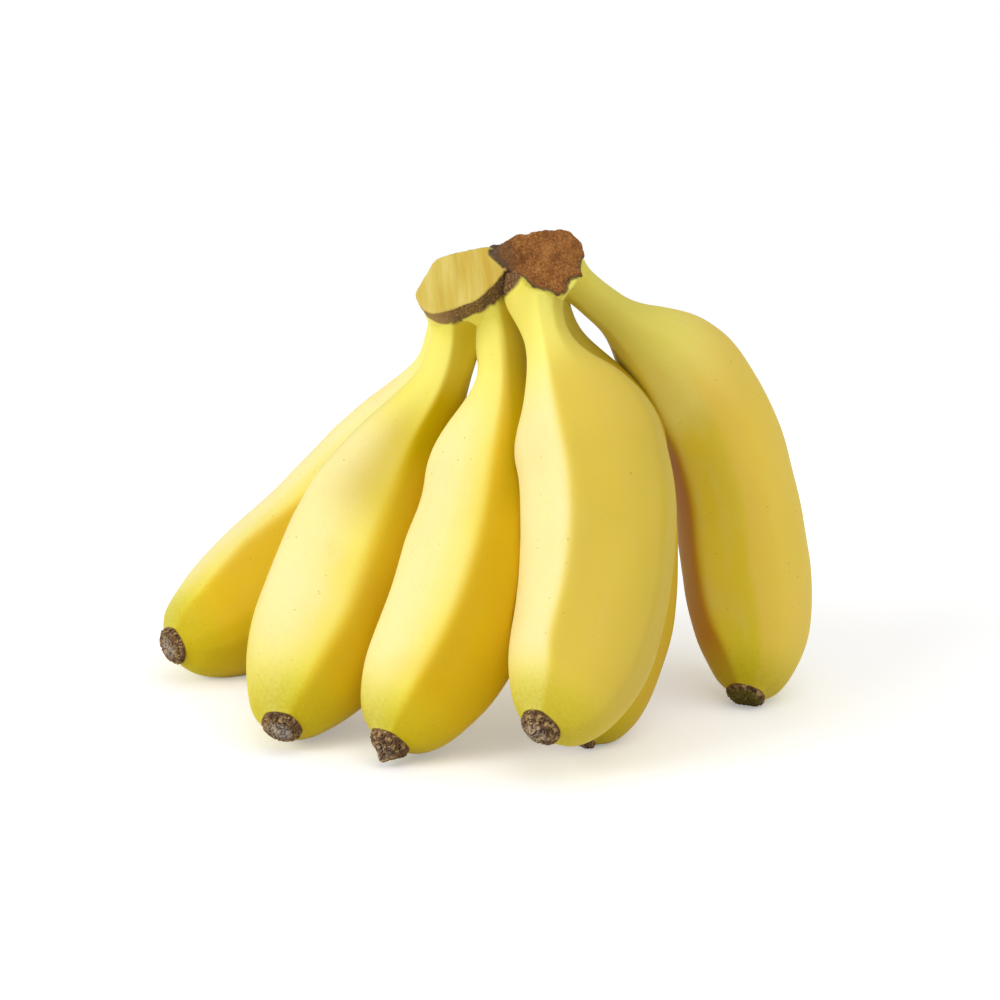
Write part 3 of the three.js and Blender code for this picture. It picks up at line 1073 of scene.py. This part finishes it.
FRESH_OUTLINE = (
    (-8.5, 6.6), (0.2, 9.7), (2.7, 11.1), (4.6, 9.4), (10.0, 5.0), (9.2, 2.3), (6.5, -2.9),
    (5.5, -4.1), (0.0, -7.8), (-4.0, -8.8), (-6.8, -8.2), (-9.8, -4.0), (-9.7, -2.6), (-8.3, 4.7),
)
DRIED_OUTLINE = (
    (-9.1, 5.2), (-0.7, 6.8), (4.7, 7.6), (7.2, 7.7), (8.8, 5.2), (10.2, 2.6), (8.9, -3.8),
    (6.2, -7.3), (3.8, -9.0), (-2.1, -6.5), (-3.9, -4.7), (-7.8, 2.9),
)
SCAB_EDGE = (
    (-13.0, 4.6), (-9.5, 7.0), (-4.9, 7.8), (-0.4, 8.8), (4.7, 9.4), (8.4, 9.0), (9.9, 6.4),
    (11.0, 3.2), (9.2, -0.5), (8.4, -3.9), (5.8, -4.8), (4.8, -8.1), (3.3, -8.3), (-2.3, -6.1),
    (-4.5, -3.6), (-7.1, -1.7), (-8.7, -1.3), (-12.0, 1.0),
)


@dataclass
class Crown:
    """The crown: two lobes grown together, with a fresh cut and an old, dried one."""

    fresh: Lobe = Lobe(
        (-9.2, 8, 105.5), (-0.28, -0.62, 0.72), (-0.27, -0.75, 0.6), FRESH_OUTLINE, depth=18, growth=0.0
    )
    dried: Lobe = Lobe(
        (9.3, 6.2, 110.8), (0.13, -0.79, 0.6), (0.35, -0.82, 0.45), DRIED_OUTLINE, depth=17, growth=0.1
    )
    knob: Triple = (-1.1, 13.9, 110.9)  # of dried skin between the lobes
    knob_radius: float = 2.7
    middle: Triple = (0.5, 13.0, 106.0)  # inside, with all of the skin in sight
    join: float = 3.0  # how near the lobes come before they blend
    edge: float = 0.5  # how near the sides come to the cuts before they blend
    rim_width: float = 4.8  # behind the fresh cut
    tuck: float = 0.8  # how far behind the cuts the roots of the necks are kept
    grain_turn: float = 24.0  # degrees that the fibres on the cuts lean
    rings: int = 300
    sides: int = 220
    seed: int = 40

    REACH = 40.0  # from the middle, outside the crown in every direction
    HALVINGS = 26

    # Smooth steps, each with the place where it is 0 and the place where it is 1.
    ROOT = (16.0, 12.0)  # along a finger
    NEAR_LOBE = (3.0, 1.0)  # out of a lobe's skin
    RIM_WIDENS = (-19.0, -2.0)  # to the right
    RIM_REACHES = (101.0, 107.0)  # up
    SEAM_RISES = (101.0, 105.0)  # up
    SEAM_FRONT = (19.0, 15.0)  # towards the back
    SCAB_DEPTH = (3.6, 3.0)  # behind the old cut
    BRINK_DEPTH = (1.6, 0.6)  # behind the old cut
    REAR_DEPTH = (0.7, 2.4)  # behind the old cut
    DARK_LEFT_SIDE = (-4.2, -7.4)  # to the right on the old cut

    def clearance(self, points: Array) -> Array:
        """How far points lie outside the crown, negative inside it.

        Args:
            points: Positions.

        Returns:
            The soft union of both lobes, each cut off at its plane, and the knob.
        """
        fresh, dried = (
            soft_cut(lobe.skin_distance(points), lobe.cut_distance(points), self.edge)
            for lobe in (self.fresh, self.dried)
        )
        knob = soft_cut(self._knob_distance(points), self.fresh.cut_distance(points) + 0.4, self.edge)
        return soft_union(soft_union(fresh, dried, self.join), knob, self.edge)

    def _knob_distance(self, points: Array) -> Array:
        """How far points lie outside the round knob of dried skin between the lobes."""
        return np.linalg.norm(points - np.array(self.knob), axis=-1) - self.knob_radius

    def tucked(self, points: Array, along: Array) -> Array:
        """A finger's points, with its root moved straight back behind the planes of the cuts.

        Args:
            points: Positions, one row each.
            along: Their distances from the root.

        Returns:
            The moved positions.
        """
        root = smoothstep(along, *self.ROOT)
        for lobe in (self.fresh, self.dried):
            beyond = np.maximum(0, lobe.cut_distance(points) + self.tuck) * root
            near = smoothstep(lobe.skin_distance(points), *self.NEAR_LOBE)
            points = points - (beyond * near)[:, None] * unit(np.array(lobe.cut_normal))
        return points

    def scorch(self, points: Array) -> Array:
        """How dried and brown the skin is within the rim's width of the fresh cut.

        The rim narrows to the left, and reaches further from the lobe near the crown's top.

        Args:
            points: Positions.

        Returns:
            Shares from 0 to 1.
        """
        ragged = 0.6 * layered_noise(points / 2.2, self.seed, 2)
        width = self.rim_width * (0.85 + 0.3 * smoothstep(points[..., 0], *self.RIM_WIDENS))
        past_rim = -self.fresh.cut_distance(points) + ragged - width
        reach = 2.4 + 2.6 * smoothstep(points[..., 2], *self.RIM_REACHES)
        off_lobe = self.fresh.skin_distance(points) - reach
        return smoothstep(past_rim, 0.3, -0.3) * smoothstep(off_lobe, 0.5, -0.5)

    def build(self, hand: "Hand") -> bpy.types.Object:
        """Makes the crown's mesh.

        Rays leave the middle in every direction of a grid of latitude and longitude about the
        X axis, and the mesh's points are where they leave the crown.

        Args:
            hand: The whole hand, which knows the necks.

        Returns:
            The crown's object.
        """
        tilt = np.linspace(0, math.pi, self.rings + 2)[1:-1, None]
        turn = even_turns(self.sides)
        points = self._leave(joined(-np.cos(tilt), np.sin(tilt) * np.cos(turn), np.sin(tilt) * np.sin(turn)))
        poles = self._leave(np.array([[-1.0, 0, 0], [1.0, 0, 0]]))
        masks = self._masks(points)
        flat = points.reshape(-1, 3)
        push = hand.push(self, flat, np.zeros(len(flat))).reshape(points.shape[:2])
        behind = -np.maximum(self.fresh.cut_distance(points), self.dried.cut_distance(points))
        lift = push * smoothstep(behind, 1.0, 4.0) + self._relief(points, masks)
        points = points + turned_grid_normals(points) * lift[..., None]
        return closed_mesh("crown_skin", points, poles, masks)

    def _leave(self, rays: Array) -> Array:
        """Where rays from the middle leave the crown, found by halving.

        Args:
            rays: Unit directions.

        Returns:
            The places.
        """
        middle = np.array(self.middle)
        low = np.zeros(rays.shape[:-1])
        high = np.full(rays.shape[:-1], self.REACH)
        for _ in range(self.HALVINGS):
            half = (low + high) / 2
            within = self.clearance(middle + rays * half[..., None]) < 0
            low, high = np.where(within, half, low), np.where(within, high, half)
        return middle + rays * low[..., None]

    def _masks(self, points: Array) -> dict[str, Array]:
        """The parts of the crown: its fresh cut, dried cut, rim and dark brown marks.

        Each is a smooth step on the distance to a cut or an edge, which noise shifts so that
        the edges of the dried parts are ragged. The dark brown marks lie at the brink of the scab,
        down its rear and on its left side, on the knob, and along the seam between the lobes.

        Args:
            points: Positions on the crown.

        Returns:
            The turned places on the cuts, and a share from 0 to 1 for each part.
        """
        wander = 0.7 * lattice_noise(points / 1.8, self.seed + 3)
        wander = wander + 0.35 * lattice_noise(points / 0.7, self.seed + 4)
        owner = self.fresh.skin_distance(points) - self.dried.skin_distance(points)
        on_fresh = smoothstep(np.abs(self.fresh.cut_distance(points)), 0.45, 0.2)
        on_fresh = on_fresh * smoothstep(owner + 0.3 * wander, 0.5, -0.3)
        place = self.dried.on_cut(points)
        behind = place[..., 2]
        edge = outline_distance(place[..., :2], np.array(SCAB_EDGE)) + 0.3 * wander
        on_scab = smoothstep(owner + 0.5 * wander, -0.5, 0.3)
        on_dried = smoothstep(edge, 0.15, -0.15) * on_scab
        on_dried = on_dried * smoothstep(behind + 0.8 * wander, *self.SCAB_DEPTH)
        seam = 0.75 * smoothstep(np.abs(owner - 0.2 + 0.5 * wander), 2.2, 1.0)
        seam = seam * smoothstep(points[..., 2], *self.SEAM_RISES)
        seam = seam * smoothstep(points[..., 1], *self.SEAM_FRONT)
        brink = 0.8 * smoothstep(np.abs(edge), 0.5, 0.1) * smoothstep(behind, *self.BRINK_DEPTH) * on_scab
        rear = 0.7 * smoothstep(behind, *self.REAR_DEPTH) * on_dried
        side = 0.45 * smoothstep(place[..., 0] + wander, *self.DARK_LEFT_SIDE) * on_dried
        on_knob = 0.9 * smoothstep(self._knob_distance(points), 0.9, 0.3)
        dark_marks = np.maximum.reduce([seam, on_knob, brink, rear, side]) * (1 - on_fresh)
        right, up, behind = np.moveaxis(
            np.where((owner < 0)[..., None], self.fresh.on_cut(points), place), -1, 0
        )
        cosine, sine = math.cos(math.radians(self.grain_turn)), math.sin(math.radians(self.grain_turn))
        return {
            "cut_grain": joined(right * cosine + up * sine, up * cosine - right * sine, behind),
            "fresh": on_fresh,
            "dried": on_dried,
            "rim": self.scorch(points) * (1 - on_fresh),
            "dark_marks": dark_marks,
        }

    def _relief(self, points: Array, masks: dict[str, Array]) -> Array:
        """How far the fibres, grains and the dried rim stand out of the smooth crown.

        Args:
            points: Positions on the crown.
            masks: Its parts.

        Returns:
            Layered noise stretched along the fibres on the fresh cut, and lumps and folds on
            the dried parts.
        """
        fibres = layered_noise(masks["cut_grain"] * np.array([0.9, 0.09, 0.1]), self.seed + 5, 3)
        lumps = layered_noise(points / 1.5, self.seed + 9, 3)
        folds = layered_noise(points / 5.0, self.seed + 13, 2)
        relief = 0.14 * fibres * masks["fresh"] + 0.2 * lumps * masks["rim"]
        relief = relief + (0.25 * lumps + 0.35 * folds + 0.3) * masks["dried"]
        return relief - 0.4 * masks["dark_marks"] * (1 - masks["dried"])


# ---- Dried flowers ----


class FlowerShape(Enum):
    """What is left of a dried flower: its height, bluntness, ring height and lumpiness."""

    CAP = (2.0, 2.0, 0.2, 0.75)
    DISC = (1.0, 2.6, 0.5, 0.45)


@dataclass
class BlossomEnd:
    """The dried flower at a finger's tip: a rough cap of dead fibres, with a short point."""

    finger: Finger
    shape: FlowerShape
    nub: tuple[float, float, float, float] = (0.0, 0.0, 0.0, 1.0)  # right, ahead, height, width
    ash: float = 0.0  # how grey its middle is
    moss: float = 0.0  # how green it still is
    rings: int = 90
    sides: int = 150

    OVERLAP = 0.35
    RIM_RADIUS = TIP_RADIUS + OVERLAP
    SKIRT = 1.4  # how far the edge goes down over the peel
    SKIRT_SHARE = 0.12  # of the rings
    RING_PLACE = 0.68  # of the rim's radius
    RING_WIDTH = 0.16
    FIRST_SEED = 70
    FIBRE_CROWDING = 6.6  # round the flower, in cells of noise a radian
    FIBRE_STRETCH = 0.525  # along the radius, in cells a millimetre
    LUMP_CROWDING = 1.15  # in cells a millimetre
    CREASING = 2.6
    WIDENING = 0.09

    def _creased(self, places: Array, seed: int) -> Array:
        """The absolute value of a noise: sharp creases at 0 between round bumps up to 1."""
        return np.minimum(1, self.CREASING * np.abs(layered_noise(places, seed, 2)))

    def build(self) -> bpy.types.Object:
        """Makes the flower's mesh.

        The outline is a dome, whose height is h (1 - (1 - q)^k) where q goes from 0 at the
        edge to 1 at the top, with a raised ring and a point shaped like a bell curve. It is
        covered in creased lumps, which towards the edge are drawn out into fibres.

        Returns:
            The flower's object.
        """
        height, power, ring, lumpiness = self.shape.value
        share = np.linspace(0.02, 1, self.rings)[:, None]
        turn = even_turns(self.sides)
        inward = np.clip((share - self.SKIRT_SHARE) / (1 - self.SKIRT_SHARE), 0, 1)
        radius = self.RIM_RADIUS * (1 - inward**1.25)
        skirt = -self.SKIRT * (1 - share / self.SKIRT_SHARE)
        rise = np.where(share < self.SKIRT_SHARE, skirt, height * (1 - (1 - inward) ** power))
        rise = rise + ring * bell((radius / self.RIM_RADIUS - self.RING_PLACE) / self.RING_WIDTH)
        seed = self.FIRST_SEED + self.finger.seed
        cosine, sine = np.cos(turn), np.sin(turn)
        spokes = self.FIBRE_CROWDING * cosine, self.FIBRE_CROWDING * sine, self.FIBRE_STRETCH * radius
        fibres = self._creased(joined(*spokes), seed)
        lumps = self._creased(joined(radius * cosine, radius * sine, rise) * self.LUMP_CROWDING, seed + 5)
        lift = lumps + (fibres - lumps) * 0.5 * smoothstep(radius / self.RIM_RADIUS, 0.45, 0.85)
        fade = smoothstep(share, 0.02, 0.16)
        radius = radius * (1 + fade * self.WIDENING * (lift - 0.5))
        attributes = {
            "lift": lift,
            "ash": self.ash * smoothstep(radius / self.RIM_RADIUS, 0.75, 0.4),
            "moss": self.moss * smoothstep(radius / self.RIM_RADIUS, 0.95, 0.8),
        }
        right, forward = radius * sine, radius * cosine
        squares = (right - self.nub[0]) ** 2 + (forward - self.nub[1]) ** 2
        rise = rise + fade * lumpiness * (lift - 0.5) + self.nub[2] * np.exp(-squares / self.nub[3] ** 2)
        tip, tangent = self.finger.line.at(np.array([self.finger.line.length]))
        ahead, aside = facing(tangent)
        points = tip + joined(right, forward, rise + 0.05) @ np.concatenate([aside, ahead, tangent])
        points[..., 2] = np.maximum(points[..., 2], HAND_CENTRE[2] + 0.02)
        poles = points[[0, -1]].mean(axis=1)
        return closed_mesh(f"dried_flower_{self.finger.name}", points, poles, attributes)


# ---- The hand ----


@dataclass
class Hand:
    """All of the hand: the crown, its fingers and their dried flowers."""

    crown: Crown
    fingers: list[Finger]  # each gives way to those before it
    flowers: list[BlossomEnd]
    fillet: float = 3.2  # how near a neck and the crown come before they flow together
    rear_fillet: float = 7.5  # the same at the back of the crown
    rear: tuple[float, float] = (12.0, 19.0)  # how far back it starts to widen and is widest
    crease: float = 2.4  # how near two necks come before they flow together
    neck_reach: float = 30.0  # how far from the root they do so
    neck_fade: float = 12.0  # the length over which that stops
    deepest_dent: float = 4.0
    highest_fillet: float = 2.0

    def push(self, piece: Any, points: Array, along: Array) -> Array:
        """How far points of a piece move out along their normals because of its neighbours.

        Near the crown, and near other necks on a finger's own neck, a point moves out by the
        rounding of their gap. Where it would lie inside the body of a finger that comes
        before it, it moves in by the overlap.

        Args:
            piece: The crown or a finger.
            points: Positions on it, one row each.
            along: Their distances from the root.

        Returns:
            The pushes.
        """
        rear = smoothstep(points[:, 1], *self.rear)
        fillet = self.fillet + (self.rear_fillet - self.fillet) * rear
        on_neck = smoothstep(along, self.neck_reach, self.neck_reach - self.neck_fade)
        before = piece is not self.crown
        reach = self.crease if before else fillet
        push = rounding(self.crown.clearance(points), fillet) if before else np.zeros(len(points))
        for other in self.fingers:
            if other is piece:
                before = False
                continue
            gap = other.clearance(points)
            push += on_neck * rounding(gap, reach)
            if before:
                push -= (1 - on_neck) * np.maximum(0, PIECE_GAP - gap)
        return np.clip(push, -self.deepest_dent, self.highest_fillet)

    def build(self) -> None:
        """Builds every piece, gives it its finish and sets it on its body."""
        peel = PeelFinish().material()
        self._place(self.crown.build(self), CrownFinish().material(), "crown")
        for finger in self.fingers:
            self._place(finger.build(self), peel, f"finger_{finger.name}")
        dried = BlossomFinish().material()
        for flower in self.flowers:
            self._place(flower.build(), dried, f"blossom_end_{flower.finger.name}")

    def _place(self, piece: bpy.types.Object, material: bpy.types.Material, node: str) -> None:
        """Dresses a piece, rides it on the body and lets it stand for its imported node.

        Args:
            piece: The piece.
            material: Its material.
            node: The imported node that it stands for.
        """
        piece.data.materials.append(material)
        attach(piece, BODY)
        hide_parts(node)
        log.info("%s: %d faces, for %s", piece.name, len(piece.data.polygons), node)


# ---- Studio ----


@dataclass
class Studio:
    """The floor, the light and the camera."""

    camera_distance: float = 0.631  # from what it looks at
    camera_elevation: float = 15.0  # degrees
    look_height: float = 57.0  # millimetres, in the frame of the routes
    lens: float = 100.0  # millimetres
    floor_size: float = 12.0
    key_strength: float = 1.52
    key_spread: float = 34.0  # degrees
    top_strength: float = 0.7
    top_spread: float = 60.0  # degrees
    sky_strength: float = 0.52

    def build(self) -> None:
        """Makes the floor, the lamps, the world and the camera."""
        self._floor()
        self._lamp("key", (-0.74, -0.5, 0.44), self.key_strength, self.key_spread)
        self._lamp("top", (0.3, -0.3, 1.0), self.top_strength, self.top_spread)
        self._world()
        self._camera()

    def _floor(self) -> None:
        """A square floor at the height of the surface that the hand stands on."""
        half = self.floor_size / 2
        mesh = bpy.data.meshes.new("floor")
        corners = [(-half, -half, 0), (half, -half, 0), (half, half, 0), (-half, half, 0)]
        mesh.from_pydata(corners, [], [(0, 1, 2, 3)])
        mesh.materials.append(FloorFinish().material())
        linked("floor", mesh)

    def _lamp(self, name: str, place: Triple, strength: float, spread: float) -> None:
        """A far soft lamp that shines from a direction.

        Args:
            name: The lamp's name.
            place: The direction that it stands in, seen from the hand.
            strength: Its light on a surface that faces it.
            spread: How wide it looks from the hand, in degrees.
        """
        lamp = bpy.data.lights.new(name, "SUN")
        lamp.energy = strength
        lamp.angle = math.radians(spread)
        thing = linked(name, lamp)
        away = unit(np.array(place))
        thing.location = tuple(away)
        flat = math.hypot(away[0], away[1])
        thing.rotation_euler = (math.atan2(flat, away[2]), 0, math.atan2(away[0], -away[1]))

    def _world(self) -> None:
        """A world that is plain white to the camera and lights the hand softly."""
        world = bpy.data.worlds.new("studio")
        bpy.context.scene.world = world
        shader = Shader(world, "ShaderNodeOutputWorld")
        camera_ray = shader.node("ShaderNodeLightPath", {}, "Is Camera Ray")
        soft, white = (
            shader.node("ShaderNodeBackground", {"Color": WHITE, "Strength": strength})
            for strength in (self.sky_strength, 1.0)
        )
        shader.finished(shader.node("ShaderNodeMixShader", {0: camera_ray, 1: soft, 2: white}))

    def _camera(self) -> None:
        """A camera in front of the hand that looks a little down at its middle."""
        data = bpy.data.cameras.new("camera")
        data.lens = self.lens
        camera = linked("camera", data)
        rise = math.radians(self.camera_elevation)
        target = (np.array([0.0, 0.0, self.look_height]) - HAND_CENTRE) * MM
        back = np.array([0.0, -math.cos(rise), math.sin(rise)])
        camera.location = tuple(target + back * self.camera_distance)
        camera.rotation_euler = (math.pi / 2 - rise, 0, 0)
        bpy.context.scene.camera = camera


# ---- Making it ----


def make_fingers() -> list[Finger]:
    """The six fingers, from the front to the back.

    Returns:
        The fingers.
    """
    return [
        Finger(
            "front",
            [(8.6, 11, 110.8), (7.4, 5.5, 96.7), (17.9, -4, 81.5), (23.7, -10.7, 59.3),
             (21.4, -17.2, 34.3), (15.9, -22.4, 19.6), (8.9, -32, 13.8)],
            belly=16.5, neck=5.3, neck_length=17, shoulder_length=29, tail_length=35,
            ridge_turn=-20, ridge_twist=-46, ridge_sharpness=20,
            fullness=(0.98, 0.9, 0.94, 1.08, 0.98, 1.06, 1.04, 1.01, 1.04, 1.05, 0.97), seed=1,
            heel=(2.8, -75),
            # Painted highlight on the lit left face, painted shade on the right faces, and painted shade on
            # the neck under the crown.
            painted_light=(
                PaintedLightBand(PaintedLight.HIGHLIGHT, -90, 0, strength=0.8),
                PaintedLightBand(PaintedLight.TAN, 0, 140),
                PaintedLightBand(PaintedLight.BRONZE_SHADE, 40, 170, begin=-14, end=34, strength=0.65),
                PaintedLightBand(PaintedLight.BRONZE_SHADE, -170, -20, begin=-14, end=28, strength=0.45, crisp=False),
            ),
        ),
        Finger(
            "middle",
            [(-2.4, 14, 103.1), (2, 14.6, 88.1), (0.5, 10.2, 70.9), (-1.9, 3.9, 45.7),
             (-11, -5.4, 24.8), (-19.8, -13, 12.8), (-24.9, -20, 5.8)],
            belly=16.1, neck=5.3, neck_length=17, shoulder_length=29, tail_length=29,
            ridge_turn=-8, ridge_twist=-20, ridge_sharpness=20,
            fullness=(1.11, 1.07, 1.14, 0.91, 1.17, 1.01, 0.98, 0.89), seed=2,
            # Painted highlight on the lit left face, and painted shade on the right faces and on the neck's
            # right side under the crown.
            painted_light=(
                PaintedLightBand(PaintedLight.HIGHLIGHT, -85, -20, strength=0.9, crisp=False),
                PaintedLightBand(PaintedLight.GOLDEN_SHADE, -3, 140, begin=4, strength=0.95),
                PaintedLightBand(PaintedLight.BRONZE_SHADE, 10, 150, begin=-14, end=56, strength=1.15),
            ),
        ),
        Finger(
            "left",
            [(-10.5, 11, 101.7), (-9.3, 15.8, 86.3), (-19.4, 25.7, 69.5), (-28.2, 25.3, 46),
             (-39, 16.5, 23.3), (-46.4, -2.4, 13.5), (-49.7, -12.8, 7)],
            belly=16.6, neck=5.8, neck_length=18, shoulder_length=43, tail_length=32,
            ridge_turn=1, ridge_twist=3, ridge_sharpness=14,
            fullness=(0.71, 1.11, 0.95, 1.05, 1.2, 1.11, 1.05, 0.74), seed=3,
            # Painted highlight low on the lit face, painted shade high on it, on the right faces and on the
            # neck's right side under the crown.
            painted_light=(
                PaintedLightBand(PaintedLight.HIGHLIGHT, -88, -24, begin=22, strength=0.88, fade=24, crisp=False),
                PaintedLightBand(PaintedLight.BRONZE_SHADE, -45, 0, begin=16, end=72, strength=0.75, fade=22, crisp=False),
                PaintedLightBand(PaintedLight.GOLDEN_SHADE, -5, 140),
                PaintedLightBand(PaintedLight.BRONZE_SHADE, -3, 150, begin=-14, end=50, strength=1.2),
            ),
        ),
        Finger(
            "far_left",
            [(-10.6, 19.1, 103), (-12.4, 29.6, 85.2), (-19.3, 47.6, 66.4), (-34.6, 59.5, 42),
             (-53.7, 58.1, 20.7), (-69.8, 45.6, 12.4), (-80, 36.9, 10.2)],
            belly=15.7, neck=4.7, neck_length=22, shoulder_length=47, tail_length=38,
            ridge_turn=-40, ridge_twist=-46, ridge_sharpness=18,
            fullness=(1.02, 0.96, 1.03, 0.83, 1.08, 1.13, 1.14, 0.89), seed=4,
            # The usual painted highlight and shade, and painted shade on the underside towards the tip.
            painted_light=PAINTED_HIGHLIGHT_AND_SHADE + (PaintedLightBand(PaintedLight.BRONZE_SHADE, 52, 160, begin=76, strength=0.45),),
        ),
        Finger(
            "right",
            [(12.9, 16.2, 108.4), (26, 20.2, 95), (40.3, 35.3, 84.6), (55.7, 43.8, 59.3),
             (59.3, 36.6, 29.4), (62.1, 28.1, 11.3), (58.7, 20.3, 3.2)],
            belly=15.2, neck=4.6, neck_length=17, shoulder_length=37, tail_length=36,
            ridge_turn=-42, ridge_twist=-7, ridge_sharpness=12,
            fullness=(0.95, 0.93, 1.07, 1.03, 0.89, 0.96, 0.97, 1.04, 1.02, 1.02, 0.77), seed=5,
            # Painted shadow of the front finger on the left face, painted shade round the back, a faint
            # painted highlight high on the right side, painted shade on the right faces, and painted shade
            # all round the neck under the crown.
            painted_light=(
                PaintedLightBand(PaintedLight.UMBER_SHADOW, -84, 0, begin=32, strength=0.88, fade=40),
                PaintedLightBand(PaintedLight.GOLDEN_SHADE, -170, -78, begin=20, strength=0.5, fade=40),
                PaintedLightBand(PaintedLight.HIGHLIGHT, 0, 160, begin=20, end=64, strength=0.3),
                PaintedLightBand(PaintedLight.GOLDEN_SHADE, 0, 46, begin=46, strength=0.28),
                PaintedLightBand(PaintedLight.SAND_SHADE, 46, 160, begin=30),
                PaintedLightBand(PaintedLight.BRONZE_SHADE, -400, 400, begin=-6, end=36, strength=0.45),
            ),
        ),
        Finger(
            "behind",
            [(8.4, 17.1, 107), (11.8, 23, 92.9), (22.6, 25.1, 77), (27, 23.6, 48.2),
             (27.7, 13.3, 23.5), (23.3, -2.8, 10.5), (17.6, -7.8, 3.2)],
            belly=14.1, neck=4.6, neck_length=16, shoulder_length=33, tail_length=34,
            ridge_turn=17, ridge_twist=7, ridge_sharpness=14,
            fullness=(0.99, 0.98, 1.13, 0.97, 1.04, 1.01, 0.86, 0.96), seed=6,
            # Painted shade and painted shadow where it lies behind and beneath the front finger, darker on
            # the neck and on its right side.
            painted_light=(
                PaintedLightBand(PaintedLight.GOLDEN_SHADE, -140, 20),
                PaintedLightBand(PaintedLight.BRONZE_SHADE, -400, 400, begin=-2, end=56, strength=0.8),
                PaintedLightBand(PaintedLight.UMBER_SHADOW, 20, 160, strength=0.5),
            ),
        ),
    ]


def make_flowers(fingers: Sequence[Finger]) -> list[BlossomEnd]:
    """The dried flowers, one for each finger.

    Args:
        fingers: The fingers.

    Returns:
        The flowers, in the order of the fingers.
    """
    by_name = {finger.name: finger for finger in fingers}
    return [
        BlossomEnd(by_name["front"], FlowerShape.CAP, nub=(-0.6, -0.4, 0.8, 1.2), ash=0.25),
        BlossomEnd(by_name["middle"], FlowerShape.CAP, nub=(0.7, -0.8, 2.3, 1.8), ash=0.1),
        BlossomEnd(by_name["left"], FlowerShape.DISC, ash=0.5),
        BlossomEnd(by_name["far_left"], FlowerShape.DISC, ash=0.35),
        BlossomEnd(by_name["right"], FlowerShape.DISC, moss=0.9),
        BlossomEnd(by_name["behind"], FlowerShape.DISC, ash=0.3),
    ]


def main() -> None:
    """Builds the hand and its studio."""
    bpy.context.scene.view_settings.view_transform = "Standard"
    fingers = make_fingers()
    Hand(Crown(), fingers, make_flowers(fingers)).build()
    Studio().build()


if __name__ == "__main__":
    logging.basicConfig(level=logging.INFO, format="%(name)s: %(message)s")
    main()
